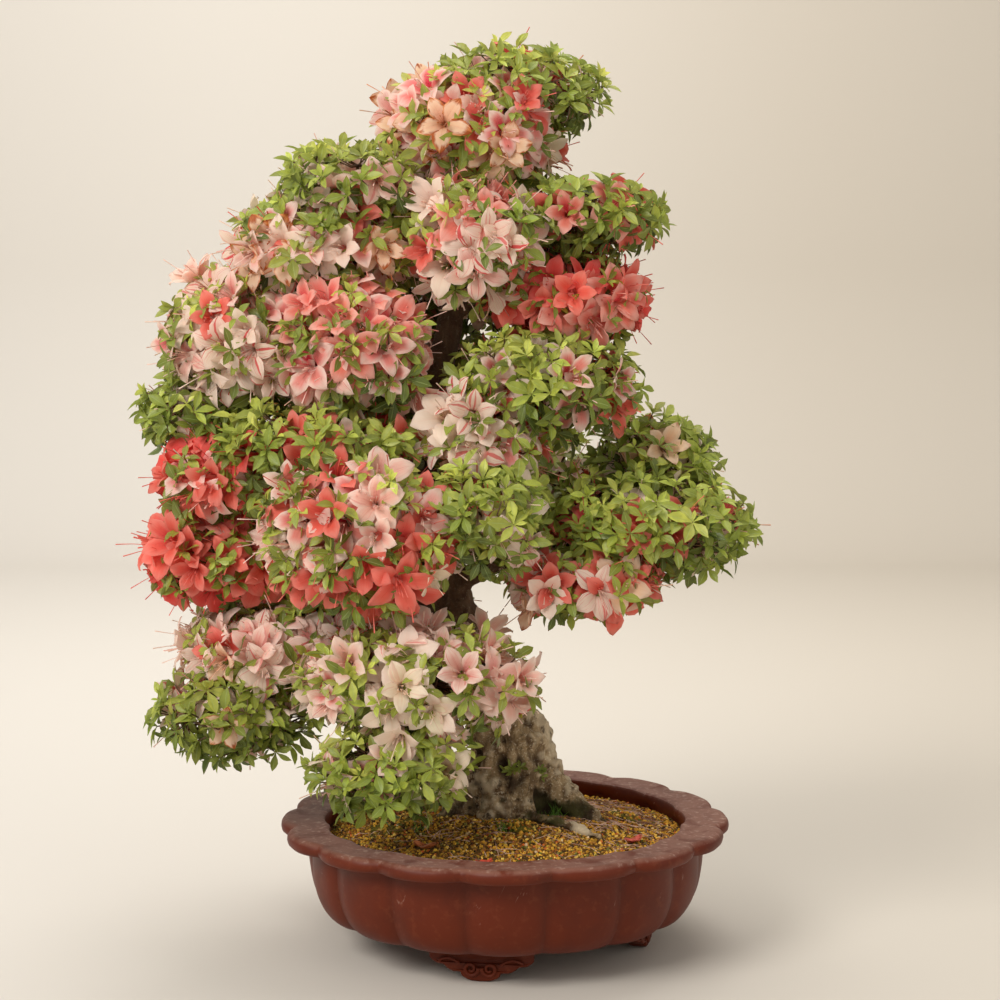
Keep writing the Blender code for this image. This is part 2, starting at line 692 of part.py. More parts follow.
def make_moss(wood_cutter, soil_cut):
    """Low cushions of moss that hug the soil and the roots."""
    for name, (angle, distance, half) in MOSS.items():
        bm = bmesh.new()
        shape = on_soil(angle, distance, 0.0) @ Matrix.Diagonal((half, half, MOSS_HEIGHT, 1.0))
        bmesh.ops.create_uvsphere(bm, u_segments=14, v_segments=6, radius=1.0, matrix=shape)
        mesh = bpy.data.meshes.new(name)
        bm.to_mesh(mesh)
        bm.free()
        moss = add_object(name, mesh, PARTS)
        boolean(moss, "DIFFERENCE", soil_cut)
        boolean(moss, "DIFFERENCE", wood_cutter)
        finish_part(moss, "moss")


def make_petals():
    """Thin curled petals that lie on the soil."""
    for name, (angle, distance, half) in PETALS.items():
        bm = bmesh.new()
        bmesh.ops.create_circle(bm, cap_ends=True, cap_tris=True, segments=10, radius=half)
        for vertex in bm.verts:
            reach = vertex.co.length / half
            vertex.co.z = PETAL_RISE * reach * reach
            vertex.co.y *= 0.7
        bm.transform(on_soil(angle, distance, 4 * CLEARANCE))
        mesh = bpy.data.meshes.new(name)
        bm.to_mesh(mesh)
        bm.free()
        petal = add_object(name, mesh, PARTS)
        solidify = petal.modifiers.new("Thickness", "SOLIDIFY")
        solidify.thickness = PETAL_THICKNESS
        solidify.offset = 1.0
        finish_part(petal, "wilted_petal")


# ---- crown ------------------------------------------------------------------------------


def reach_along(half_sizes, direction):
    """How far an ellipsoid reaches from its middle along a direction."""
    return 1.0 / math.sqrt(sum((d / h) ** 2 for d, h in zip(direction, half_sizes)))


def make_mass(name, masses, rng):
    """A lumpy ellipsoid, cut flat where each neighbouring mass begins."""
    centre, half_sizes = masses[name]
    bm = bmesh.new()
    shape = Matrix.Translation(centre) @ Matrix.Diagonal((*half_sizes, 1.0))
    bmesh.ops.create_icosphere(bm, subdivisions=MASS_FACES, radius=1.0)
    for vertex in bm.verts:
        vertex.co *= rng.uniform(0.93, 1.03)
    bm.transform(shape)
    middle = Vector(centre)
    for other, (other_centre, other_half) in masses.items():
        if other == name:
            continue
        across = Vector(other_centre) - middle
        direction = across.normalized()
        mine = reach_along(half_sizes, direction)
        theirs = reach_along(other_half, direction)
        cut = middle + direction * (across.length * mine / (mine + theirs) - MASS_GAP / 2)
        geometry = [*bm.verts, *bm.edges, *bm.faces]
        bmesh.ops.bisect_plane(
            bm, geom=geometry, dist=WELD, plane_co=cut, plane_no=direction, clear_outer=True
        )
        rim = [edge for edge in bm.edges if edge.is_boundary]
        if rim:
            bmesh.ops.holes_fill(bm, edges=rim)
    bmesh.ops.triangulate(bm, faces=bm.faces)
    bmesh.ops.recalc_face_normals(bm, faces=bm.faces)
    mesh = bpy.data.meshes.new(name)
    bm.to_mesh(mesh)
    bm.free()
    return add_object(name, mesh, PARTS)


def make_crown(wood_cutter):
    rng = random.Random(16)
    masses = {
        name: ((x, y, z + SOIL_TOP), [CROWN_FULLNESS * half for half in half_sizes])
        for name, ((x, y, z), half_sizes) in MASSES.items()
    }
    for name in masses:
        mass = make_mass(name, masses, rng)
        boolean(mass, "DIFFERENCE", wood_cutter)
        finish_part(mass, "leaf" if name.startswith("leaves") else "blossom", 60.0)


def seat_origin():
    """Move the pot's axis so that the model's box has the origin in the middle of its bottom."""
    bpy.context.view_layer.update()
    depsgraph = bpy.context.evaluated_depsgraph_get()
    corners = []
    for obj in PARTS.objects:
        mesh = evaluated_mesh(obj)
        corners += [obj.matrix_world @ vertex.co for vertex in mesh.vertices]
        bpy.data.meshes.remove(mesh)
    low = [min(c[i] for c in corners) for i in range(3)]
    high = [max(c[i] for c in corners) for i in range(3)]
    POT_AXIS.location = (-(low[0] + high[0]) / 2, -(low[1] + high[1]) / 2, -low[2])


clear_scene()
PARTS = make_collection("azalea_bonsai")
CUTTERS = make_collection("cutters")
MATERIALS = {name: make_material(name) for name in FINISHES}
POT_AXIS = bpy.data.objects.new("pot_axis", None)
bpy.context.scene.collection.objects.link(POT_AXIS)

make_pot()
make_net()
make_clip()
make_tie_wires()
tree = finish_part(make_wood("trunk_and_limbs", PARTS), "bark")
wood_space = as_cutter(make_wood("wood_space", CUTTERS, WOOD_GAP))
make_soil(wood_space)
make_moss(wood_space, soil_cutter())
make_petals()
make_crown(wood_space)
seat_origin()
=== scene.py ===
"""A flowering azalea bonsai in a lobed stoneware pot: bark, leaves, flowers, soil and glaze."""

import math
import random

import bpy
import numpy as np
from bpy.props import FloatProperty, FloatVectorProperty, IntProperty, PointerProperty
from mathutils import Matrix, Quaternion, Vector, noise
from mathutils.bvhtree import BVHTree
from mathutils.kdtree import KDTree


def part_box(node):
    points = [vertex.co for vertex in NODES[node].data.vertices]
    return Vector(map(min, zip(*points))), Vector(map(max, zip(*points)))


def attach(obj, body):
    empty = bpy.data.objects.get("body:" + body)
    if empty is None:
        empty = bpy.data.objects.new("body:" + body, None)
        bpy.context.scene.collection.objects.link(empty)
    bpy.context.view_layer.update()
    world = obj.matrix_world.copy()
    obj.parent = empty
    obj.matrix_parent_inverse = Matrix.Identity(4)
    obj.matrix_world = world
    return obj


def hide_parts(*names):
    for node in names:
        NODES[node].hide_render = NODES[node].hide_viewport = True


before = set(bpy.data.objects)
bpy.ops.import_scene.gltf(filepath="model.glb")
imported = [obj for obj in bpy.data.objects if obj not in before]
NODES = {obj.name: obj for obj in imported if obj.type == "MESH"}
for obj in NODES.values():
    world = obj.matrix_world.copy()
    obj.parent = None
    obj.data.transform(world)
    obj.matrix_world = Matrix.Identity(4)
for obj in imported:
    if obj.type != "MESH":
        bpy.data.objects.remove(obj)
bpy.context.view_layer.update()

bl_info = {
    "name": "Azalea Bonsai",
    "version": (1, 0, 0),
    "blender": (4, 5, 0),
    "location": "3D View > Sidebar > Bonsai",
    "description": "Builds a flowering azalea bonsai in its pot, piece by piece",
    "category": "Add Mesh",
}

POT_LOW, POT_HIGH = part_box("pot")
SOIL_LOW, SOIL_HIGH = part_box("soil_bed")
AXIS = Vector(((POT_LOW.x + POT_HIGH.x) / 2, (POT_LOW.y + POT_HIGH.y) / 2, 0.0))
RIM_Z = POT_HIGH.z
LIP_RADIUS = (POT_HIGH.x - POT_LOW.x) / 2
FOOT_HEIGHT = 0.026
LOBES = 16
TURN = 2.0 * math.pi


def srgb(red, green, blue):
    """A colour as it looks, 0 to 255, made linear."""
    def linear(value):
        value /= 255.0
        return value / 12.92 if value <= 0.04045 else ((value + 0.055) / 1.055) ** 2.4
    return linear(red), linear(green), linear(blue)


def smoothstep(low, high, value):
    share = np.clip((value - low) / (high - low), 0.0, 1.0)
    return share * share * (3.0 - 2.0 * share)


def polar(degrees, distance):
    angle = math.radians(degrees)
    return distance * math.cos(angle), distance * math.sin(angle)


# ---- objects ----------------------------------------------------------------------------


def deselect_all():
    if bpy.context.object and bpy.context.object.mode != "OBJECT":
        bpy.ops.object.mode_set(mode="OBJECT")
    bpy.ops.object.select_all(action="DESELECT")


def pick(obj):
    deselect_all()
    obj.select_set(True)
    bpy.context.view_layer.objects.active = obj
    return obj


def coordinates(obj):
    flat = np.empty(len(obj.data.vertices) * 3)
    obj.data.vertices.foreach_get("co", flat)
    return flat.reshape(-1, 3)


def set_coordinates(obj, rows):
    obj.data.vertices.foreach_set("co", np.ascontiguousarray(rows, np.float64).ravel())
    obj.data.update()


def join(objects, name):
    deselect_all()
    for obj in objects:
        obj.select_set(True)
    bpy.context.view_layer.objects.active = objects[0]
    if len(objects) > 1:
        bpy.ops.object.join()
    joined = bpy.context.view_layer.objects.active
    joined.name = name
    joined.data.name = name
    return joined


def apply_place(obj):
    pick(obj)
    bpy.ops.object.transform_apply(location=True, rotation=True, scale=True)
    return obj


def apply_modifiers(obj):
    pick(obj)
    for modifier in list(obj.modifiers):
        bpy.ops.object.modifier_apply(modifier=modifier.name)
    return obj


def weld(obj, distance, outward=True):
    pick(obj)
    bpy.ops.object.mode_set(mode="EDIT")
    bpy.ops.mesh.select_all(action="SELECT")
    bpy.ops.mesh.remove_doubles(threshold=distance)
    if outward:
        bpy.ops.mesh.normals_make_consistent(inside=False)
    bpy.ops.object.mode_set(mode="OBJECT")
    return obj


def shade(obj, degrees=None):
    pick(obj)
    if degrees is None:
        bpy.ops.object.shade_smooth()
    else:
        bpy.ops.object.shade_smooth_by_angle(angle=math.radians(degrees))
    return obj


def curve_mesh(name, paths, sides_level=0, cyclic=False):
    """Tubes along lists of (x, y, z, radius), made one mesh; their ends are closed."""
    curve = bpy.data.curves.new(name, "CURVE")
    curve.dimensions = "3D"
    curve.bevel_depth = 1.0
    curve.bevel_resolution = sides_level
    curve.use_fill_caps = not cyclic
    for path in paths:
        spline = curve.splines.new("POLY")
        spline.points.add(len(path) - 1)
        spline.use_cyclic_u = cyclic
        for point, (x, y, z, radius) in zip(spline.points, path):
            point.co = (x, y, z, 1.0)
            point.radius = radius
    obj = bpy.data.objects.new(name, curve)
    bpy.context.scene.collection.objects.link(obj)
    pick(obj)
    bpy.ops.object.convert(target="MESH")
    made = bpy.context.view_layer.objects.active
    weld(made, 1e-6)
    made.data.name = name
    return made


def finish(obj, slot, materials, *nodes):
    """Materials, the body that it rides on and the nodes that it stands for, which are hidden. The finish,
    slot, is not used.
    """
    obj.data.materials.clear()
    for material in materials:
        obj.data.materials.append(material)
    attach(obj, "root")
    if nodes:
        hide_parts(*nodes)
    return obj


def aim(direction, roll=0.0):
    """A turn that takes +Z to the direction, and +Y as near to up as it goes, then rolled."""
    turn = Vector(direction).normalized().to_track_quat("Z", "Y")
    return (turn @ Quaternion((0.0, 0.0, 1.0), roll)).to_matrix()


class Pattern:
    """A shape that is modelled once and copied: its corners, faces, UVs and per-corner shares."""

    def __init__(self, obj, upper=None, tone=None):
        mesh = obj.data
        sizes = {polygon.loop_total for polygon in mesh.polygons}
        side = sizes.pop()
        if sizes:
            raise RuntimeError(f"{obj.name} mixes faces of different sizes")
        self.co = coordinates(obj)
        loops = np.empty(len(mesh.loops), np.int64)
        mesh.loops.foreach_get("vertex_index", loops)
        self.faces = loops.reshape(-1, side)
        self.finish = np.empty(len(mesh.polygons), np.int64)
        mesh.polygons.foreach_get("material_index", self.finish)
        self.uv = np.zeros((len(loops), 2))
        if mesh.uv_layers:
            flat = np.empty(len(loops) * 2)
            mesh.uv_layers[0].data.foreach_get("uv", flat)
            self.uv = flat.reshape(-1, 2)
        self.upper = self.attribute(mesh, "upper", 1.0)
        self.tone = self.attribute(mesh, "tone", 1.0)
        bpy.data.objects.remove(obj, do_unlink=True)

    @staticmethod
    def attribute(mesh, name, default):
        values = np.full(len(mesh.vertices), default)
        if name in mesh.attributes:
            mesh.attributes[name].data.foreach_get("value", values)
        return values


def share(obj, name, values):
    """A number at each corner of the mesh, kept under a name."""
    layer = obj.data.attributes.get(name) or obj.data.attributes.new(name, "FLOAT", "POINT")
    layer.data.foreach_set("value", np.broadcast_to(values, len(obj.data.vertices)).astype(np.float32))


def joined_copies(name, placed, smooth=True):
    """One mesh of many copies. Each row is (pattern, 3x3 turn and scale, place, tint, mark)."""
    corners, faces, uvs, finishes, tints, marks = [], [], [], [], [], []
    base = 0
    for pattern, turn, place, tint, mark in placed:
        count = len(pattern.co)
        corners.append(pattern.co @ np.array(turn).T + np.array(place))
        faces.append(pattern.faces + base)
        uvs.append(pattern.uv)
        finishes.append(pattern.finish)
        tint_rows = np.tile(np.array(tint, float), (count, 1))
        tint_rows[:, :3] *= pattern.tone[:, None]
        tints.append(tint_rows)
        mark_rows = np.tile(np.array(mark, float), (count, 1))
        mark_rows[:, 0] *= pattern.upper
        marks.append(mark_rows)
        base += count
    mesh = bpy.data.meshes.new(name)
    mesh.from_pydata(np.concatenate(corners), [], np.concatenate(faces))
    mesh.polygons.foreach_set("material_index", np.concatenate(finishes))
    mesh.polygons.foreach_set("use_smooth", np.full(len(mesh.polygons), smooth))
    mesh.uv_layers.new(name="UVMap").data.foreach_set("uv", np.concatenate(uvs).ravel())
    for layer_name, rows in (("tint", tints), ("mark", marks)):
        layer = mesh.attributes.new(layer_name, "FLOAT_COLOR", "POINT")
        layer.data.foreach_set("color", np.concatenate(rows).ravel())
    mesh.update()
    obj = bpy.data.objects.new(name, mesh)
    bpy.context.scene.collection.objects.link(obj)
    return obj


# ---- shader nodes -----------------------------------------------------------------------


def add_node(tree, kind, settings=None, sockets=None):
    """A node with its settings, and its inputs set or linked by name or number."""
    made = tree.nodes.new(kind)
    for key, value in (settings or {}).items():
        setattr(made, key, value)
    for key, value in (sockets or {}).items():
        if isinstance(value, bpy.types.NodeSocket):
            tree.links.new(value, made.inputs[key])
        else:
            made.inputs[key].default_value = value
    return made


def calc(tree, operation, a, b=0.0, clamp=False):
    settings = {"operation": operation, "use_clamp": clamp}
    return add_node(tree, "ShaderNodeMath", settings, {0: a, 1: b}).outputs[0]


def mix(tree, factor, a, b, blend="MIX"):
    settings = {"data_type": "RGBA", "blend_type": blend}
    colours = [(*c, 1.0) if isinstance(c, tuple) and len(c) == 3 else c for c in (a, b)]
    made = add_node(tree, "ShaderNodeMix", settings, {0: factor, 6: colours[0], 7: colours[1]})
    return made.outputs[2]


def between(tree, value, low, high, to_low=0.0, to_high=1.0):
    """A smooth step from to_low to to_high as the value goes from low to high."""
    settings = {"interpolation_type": "SMOOTHSTEP"}
    sockets = {"Value": value, "From Min": low, "From Max": high, "To Min": to_low, "To Max": to_high}
    return add_node(tree, "ShaderNodeMapRange", settings, sockets).outputs["Result"]


def attribute(tree, name):
    return add_node(tree, "ShaderNodeAttribute", {"attribute_name": name})


def object_place(tree):
    return add_node(tree, "ShaderNodeTexCoord").outputs["Object"]


def noise_texture(tree, place, scale, detail=3.0, rough=0.55, stretch=None, warp=0.0):
    if stretch:
        place = add_node(tree, "ShaderNodeMapping", None, {"Vector": place, "Scale": stretch}).outputs[0]
    sockets = {"Vector": place, "Scale": scale, "Detail": detail, "Roughness": rough, "Distortion": warp}
    return add_node(tree, "ShaderNodeTexNoise", None, sockets).outputs["Fac"]


def bump(tree, height, distance, strength=1.0):
    sockets = {"Height": height, "Distance": distance, "Strength": strength}
    return add_node(tree, "ShaderNodeBump", None, sockets).outputs["Normal"]


def new_material(name):
    material = bpy.data.materials.new(name)
    material.use_nodes = True
    tree = material.node_tree
    return material, tree, tree.nodes["Principled BSDF"]


def set_inputs(tree, shader, sockets):
    for key, value in sockets.items():
        if isinstance(value, bpy.types.NodeSocket):
            tree.links.new(value, shader.inputs[key])
        else:
            shader.inputs[key].default_value = (*value, 1.0) if isinstance(value, tuple) else value


def add_light_through(tree, shader, colour, amount):
    """Part of the light passes through a thin leaf or petal."""
    through = add_node(tree, "ShaderNodeBsdfTranslucent", None, {"Color": colour})
    sockets = {0: amount, 1: shader.outputs[0], 2: through.outputs[0]}
    blend = add_node(tree, "ShaderNodeMixShader", None, sockets)
    tree.links.new(blend.outputs[0], tree.nodes["Material Output"].inputs["Surface"])


def group_sockets(group, inputs, outputs):
    for name, kind, default in inputs:
        socket = group.interface.new_socket(name=name, in_out="INPUT", socket_type=kind)
        if default is not None:
            socket.default_value = default
    for name, kind in outputs:
        group.interface.new_socket(name=name, in_out="OUTPUT", socket_type=kind)
    return group.nodes.new("NodeGroupInput"), group.nodes.new("NodeGroupOutput")


def grain_group():
    """Uneven colour in three sizes, and the same unevenness as a height."""
    group = bpy.data.node_groups.new("Uneven grain", "ShaderNodeTree")
    inputs = (
        ("Color", "NodeSocketColor", (0.5, 0.5, 0.5, 1.0)),
        ("Dark", "NodeSocketColor", (0.1, 0.1, 0.1, 1.0)),
        ("Light", "NodeSocketColor", (0.9, 0.9, 0.9, 1.0)),
        ("Scale", "NodeSocketFloat", 40.0),
        ("Amount", "NodeSocketFloat", 0.4),
    )
    entry, out = group_sockets(group, inputs, (("Color", "NodeSocketColor"), ("Height", "NodeSocketFloat")))
    place = object_place(group)
    broad = noise_texture(group, place, entry.outputs["Scale"], 4.0)
    fine_scale = calc(group, "MULTIPLY", entry.outputs["Scale"], 6.0)
    fine = noise_texture(group, place, fine_scale, 3.0)
    dark_share = calc(group, "MULTIPLY", between(group, broad, 0.52, 0.34), entry.outputs["Amount"])
    light_share = calc(group, "MULTIPLY", between(group, fine, 0.52, 0.72), entry.outputs["Amount"])
    colour = mix(group, dark_share, entry.outputs["Color"], entry.outputs["Dark"])
    colour = mix(group, light_share, colour, entry.outputs["Light"])
    height = calc(group, "ADD", calc(group, "MULTIPLY", broad, 0.6), calc(group, "MULTIPLY", fine, 0.4))
    group.links.new(colour, out.inputs["Color"])
    group.links.new(height, out.inputs["Height"])
    return group


def grain(tree, colour, dark, light, scale, amount):
    group = bpy.data.node_groups.get("Uneven grain") or grain_group()
    sockets = {"Scale": scale, "Amount": amount}
    for key, value in (("Color", colour), ("Dark", dark), ("Light", light)):
        sockets[key] = (*value, 1.0) if isinstance(value, tuple) else value
    return add_node(tree, "ShaderNodeGroup", {"node_tree": group}, sockets).outputs


# ---- pot --------------------------------------------------------------------------------

OPENING_RADIUS = 0.169
LIP_THICKNESS = 0.0125
BODY_RADIUS = 0.186
BASE_RADIUS = 0.136
BELLY = 3.0
WALL = 0.0155
FLOOR_Z = FOOT_HEIGHT + 0.011
DRAIN_RADIUS = 0.022
TIE_HOLES = (0.070, 0.003, (35.0, 125.0, 215.0, 305.0))
STEPS_IN_LOBE = 16
FOOT_ANGLES = (-99.6, -9.6, 80.4, 170.4)
FOOT_FACE_RADIUS = 0.139


def wall_radius(z):
    lip_bottom = RIM_Z - LIP_THICKNESS
    rise = min(max((z - FOOT_HEIGHT) / (lip_bottom - FOOT_HEIGHT), 0.0), 1.0)
    swell = (1.0 - (1.0 - rise) ** BELLY) ** (1.0 / BELLY)
    return BASE_RADIUS + (BODY_RADIUS - BASE_RADIUS) * swell


def pot_stations(settings):
    """Once round the pot's wall: (radius, z, how deep the lobes cut there, how proud a lobe's edge is)."""
    lip, notch, flute = LIP_RADIUS, settings.lip_notch, settings.flute_depth
    low, open_cut = RIM_Z - LIP_THICKNESS, settings.opening_notch
    rows = [
        (lip - 0.0030, low, notch, 0.4),
        (lip - 0.0008, low + 0.0022, notch, 0.8),
        (lip, low + 0.0055, notch, 1.0),
        (lip - 0.0004, low + 0.0088, notch, 1.0),
        (lip - 0.0024, low + 0.0114, notch, 0.8),
        (lip - 0.0060, RIM_Z, 0.9 * notch, 0.5),
        (lip - 0.0110, RIM_Z - 0.0004, 0.6 * notch, 0.3),
        (lip - 0.0190, RIM_Z - 0.0010, 0.25 * notch, 0.0),
        (OPENING_RADIUS + 0.0130, RIM_Z - 0.0012, 0.5 * open_cut, 0.0),
        (OPENING_RADIUS + 0.0070, RIM_Z - 0.0010, open_cut, 0.0),
        (OPENING_RADIUS + 0.0035, RIM_Z - 0.0006, open_cut, 0.0),
        (OPENING_RADIUS + 0.0010, RIM_Z - 0.0018, open_cut, 0.0),
        (OPENING_RADIUS, RIM_Z - 0.0042, open_cut, 0.0),
        (OPENING_RADIUS, low + 0.0020, 0.6 * open_cut, 0.0),
    ]
    for i in range(8):
        z = low - (low - FLOOR_Z - 0.004) * i / 7
        rows.append((min(wall_radius(z) - WALL, OPENING_RADIUS), z, 0.0, 0.0))
    rows += [
        (0.110, FLOOR_Z, 0.0, 0.0),
        (0.060, FLOOR_Z, 0.0, 0.0),
        (DRAIN_RADIUS + 0.0012, FLOOR_Z, 0.0, 0.0),
        (DRAIN_RADIUS, FLOOR_Z - 0.0012, 0.0, 0.0),
        (DRAIN_RADIUS, FOOT_HEIGHT + 0.0012, 0.0, 0.0),
        (DRAIN_RADIUS + 0.0012, FOOT_HEIGHT, 0.0, 0.0),
        (0.060, FOOT_HEIGHT, 0.0, 0.0),
        (0.118, FOOT_HEIGHT, 0.0, 0.0),
        (0.1400, FOOT_HEIGHT - 0.0004, 0.4 * flute, 0.0),
        (0.1432, FOOT_HEIGHT + 0.0002, 0.9 * flute, 0.0),
        (0.1444, FOOT_HEIGHT + 0.0016, 0.9 * flute, 0.0),
        (0.1440, FOOT_HEIGHT + 0.0032, 0.9 * flute, 0.0),
        (0.1420, FOOT_HEIGHT + 0.0046, 0.8 * flute, 0.0),
    ]
    rings = 18
    for i in range(rings + 1):
        z = FOOT_HEIGHT + 0.0058 + (low - 0.0040 - FOOT_HEIGHT - 0.0058) * (i / rings) ** 1.4
        under = 0.0030 * math.exp(-i / 0.9)
        rows.append((wall_radius(z) - under, z, flute, 0.7))
    rows += [
        (BODY_RADIUS + 0.0012, low - 0.0016, flute, 0.5),
        (BODY_RADIUS + 0.0050, low - 0.0002, 0.7 * (flute + notch) / 1.4, 0.2),
        (BODY_RADIUS + 0.0120, low, notch, 0.2),
    ]
    return rows


def lobe_angles():
    """Angles round the pot, crowded towards the creases between two lobes, and each one's phase."""
    phases = [0.5 - 0.5 * math.cos(math.pi * (i + 0.02) / STEPS_IN_LOBE) for i in range(STEPS_IN_LOBE)]
    return [((lobe + phase - 0.5) * TURN / LOBES, phase) for lobe in range(LOBES) for phase in phases]


def make_pot_body(settings):
    stations = np.array(pot_stations(settings))
    angles = np.array(lobe_angles())
    deselect_all()
    bpy.ops.mesh.primitive_torus_add(
        major_segments=len(angles), minor_segments=len(stations), major_radius=0.18, minor_radius=0.03
    )
    pot = bpy.context.object
    pot.name = "pot_body"
    angle, phase = angles[:, 0][:, None], angles[:, 1][:, None]
    radius, z, cut, proud = stations.T
    valley = np.abs(np.cos(np.pi * phase))
    crest = 1.0 - (0.55 * valley ** 3 + 0.45 * valley ** 14)
    edge = settings.overlap * proud * (smoothstep(0.60, 0.95, phase) * smoothstep(1.02, 0.93, phase))
    wobble = 0.0006 * np.sin(3.0 * angle + 40.0 * z) + 0.0005 * np.sin(7.0 * angle + 1.3)
    wobble = wobble + 0.0004 * np.sin(17.0 * angle + 90.0 * z)
    ring = radius - cut * (1.0 - crest) + edge + wobble * (radius > 0.12)
    top = (z > RIM_Z - 0.004) & (radius > OPENING_RADIUS - 0.001)
    dip = 0.0010 * valley ** 10 * top * smoothstep(OPENING_RADIUS + 0.015, LIP_RADIUS, radius)
    sway = 0.0006 * np.sin(2.0 * angle + 0.7) * (z > RIM_Z - LIP_THICKNESS - 0.001)
    apron = 0.0022 * (1.0 - crest) * ((z < FOOT_HEIGHT + 0.003) & (radius > BASE_RADIUS - 0.004))
    height = z - dip - sway * (radius > 0.16) + apron
    rows = np.stack([ring * np.cos(angle), ring * np.sin(angle), height], axis=-1)
    set_coordinates(pot, rows.reshape(-1, 3))
    return pot


def foot_outline(width, height):
    """Half of a bracket foot's scalloped outline, as (x, z), middle lobe first."""
    half = []
    for i in range(9):
        angle = math.radians(90.0 * i / 8)
        half.append((0.19 * width * math.sin(angle) ** 0.8, 0.30 * height * (1.0 - math.cos(angle))))
    lobes = ((0.20, 0.345, 0.34, 0.10), (0.345, 0.50, 0.56, 0.10))
    for start, end, z, depth in lobes:
        for i in range(1, 8):
            t = i / 7
            x = start + (end - start) * t
            half.append((x * width, (z - depth * math.sin(math.pi * t) ** 0.7 + 0.14 * t) * height))
    half += [(0.505 * width, 0.86 * height), (0.49 * width, 1.18 * height)]
    return half


def make_foot(angle, settings):
    """A bracket foot bent to the pot's base, with two scrolls standing proud on its face."""
    half = foot_outline(settings.foot_width, FOOT_HEIGHT)
    outline = [(-x, z) for x, z in reversed(half[1:])] + half
    curve = bpy.data.curves.new("foot", "CURVE")
    curve.dimensions = "2D"
    curve.fill_mode = "BOTH"
    curve.extrude = 0.0065
    curve.bevel_depth = 0.0022
    curve.bevel_resolution = 3
    curve.offset = -0.0022
    spline = curve.splines.new("POLY")
    spline.points.add(len(outline) - 1)
    spline.use_cyclic_u = True
    for point, (x, z) in zip(spline.points, outline):
        point.co = (x, z, 0.0, 1.0)
    slab = bpy.data.objects.new("foot", curve)
    bpy.context.scene.collection.objects.link(slab)
    pick(slab)
    bpy.ops.object.convert(target="MESH")
    slab = weld(bpy.context.view_layer.objects.active, 1e-5)
    scrolls = []
    for side in (-1.0, 1.0):
        path = []
        for i in range(23):
            t = i / 22
            spiral = 0.0072 * (1.0 - 0.78 * t)
            turn = math.radians(-100.0 + 520.0 * t) * side
            x = side * 0.0085 + spiral * math.sin(turn)
            z = 0.0120 - spiral * math.cos(turn)
            path.append((x, z, 0.0084, 0.0021 * (1.0 - 0.45 * t)))
        scrolls.append(path)
    for side in (-1.0, 1.0):
        scrolls.append([(side * (0.019 + 0.020 * t), 0.0165 + 0.004 * math.sin(3.1 * t), 0.0082, 0.0013)
                        for t in (0.0, 0.25, 0.5, 0.75, 1.0)])
    relief = curve_mesh("foot_relief", scrolls, 2)
    foot = join([slab, relief], "foot")
    rows = coordinates(foot)
    x, up, out = rows.T
    lean = 0.12 * (up - FOOT_HEIGHT)
    ring = FOOT_FACE_RADIUS - 0.0085 + out + lean
    bend = x / FOOT_FACE_RADIUS + math.radians(angle)
    height = np.maximum(up, 0.0)
    set_coordinates(foot, np.stack([ring * np.cos(bend), ring * np.sin(bend), height], axis=-1))
    return weld(foot, 1e-6)


def glaze_material(settings):
    material, tree, shader = new_material("Stoneware glaze")
    place = object_place(tree)
    wear_and_highlight = attribute(tree, "wear_and_highlight").outputs["Fac"]
    crease_shade = attribute(tree, "crease_shade").outputs["Fac"]
    body = grain(tree, tuple(settings.glaze), srgb(76, 27, 12), srgb(112, 52, 28), 22.0, 0.40)
    # lip colour, paler on the lip's top: partly real dust and wear, partly a painted highlight on the rolled
    # edge
    lip = grain(tree, srgb(126, 84, 70), srgb(92, 50, 38), srgb(178, 150, 136), 30.0, 0.55)
    streaks = noise_texture(tree, place, 34.0, 5.0, 0.6, (1.0, 1.0, 1.0), 0.6)
    dust_and_highlight = calc(tree, "MULTIPLY", wear_and_highlight, between(tree, streaks, 0.30, 0.52), True)
    colour = mix(tree, dust_and_highlight, body["Color"], lip["Color"])
    sockets = {"Vector": place, "Rotation": (0.0, -0.5, 0.0)}
    slanted = add_node(tree, "ShaderNodeMapping", None, sockets).outputs[0]
    scuffs = noise_texture(tree, slanted, 46.0, 4.0, 0.75, (1.7, 1.7, 0.32), 0.8)
    pale = calc(tree, "MULTIPLY", between(tree, scuffs, 0.655, 0.72), attribute(tree, "scuff").outputs["Fac"])
    colour = mix(tree, calc(tree, "MULTIPLY", pale, 0.8), colour, srgb(186, 150, 134))
    # painted shade: the wall is darker in the creases between the lobes
    colour = mix(tree, calc(tree, "MULTIPLY", crease_shade, 0.22), colour, srgb(56, 22, 13))
    rough = between(tree, wear_and_highlight, 0.0, 1.0, 0.48, 0.55)
    height = calc(tree, "ADD", body["Height"], calc(tree, "MULTIPLY", streaks, 0.5))
    set_inputs(tree, shader, {
        "Base Color": colour,
        "Roughness": rough,
        "Specular IOR Level": 0.22,
        "Normal": bump(tree, height, 0.0006, 0.35),
    })
    return material


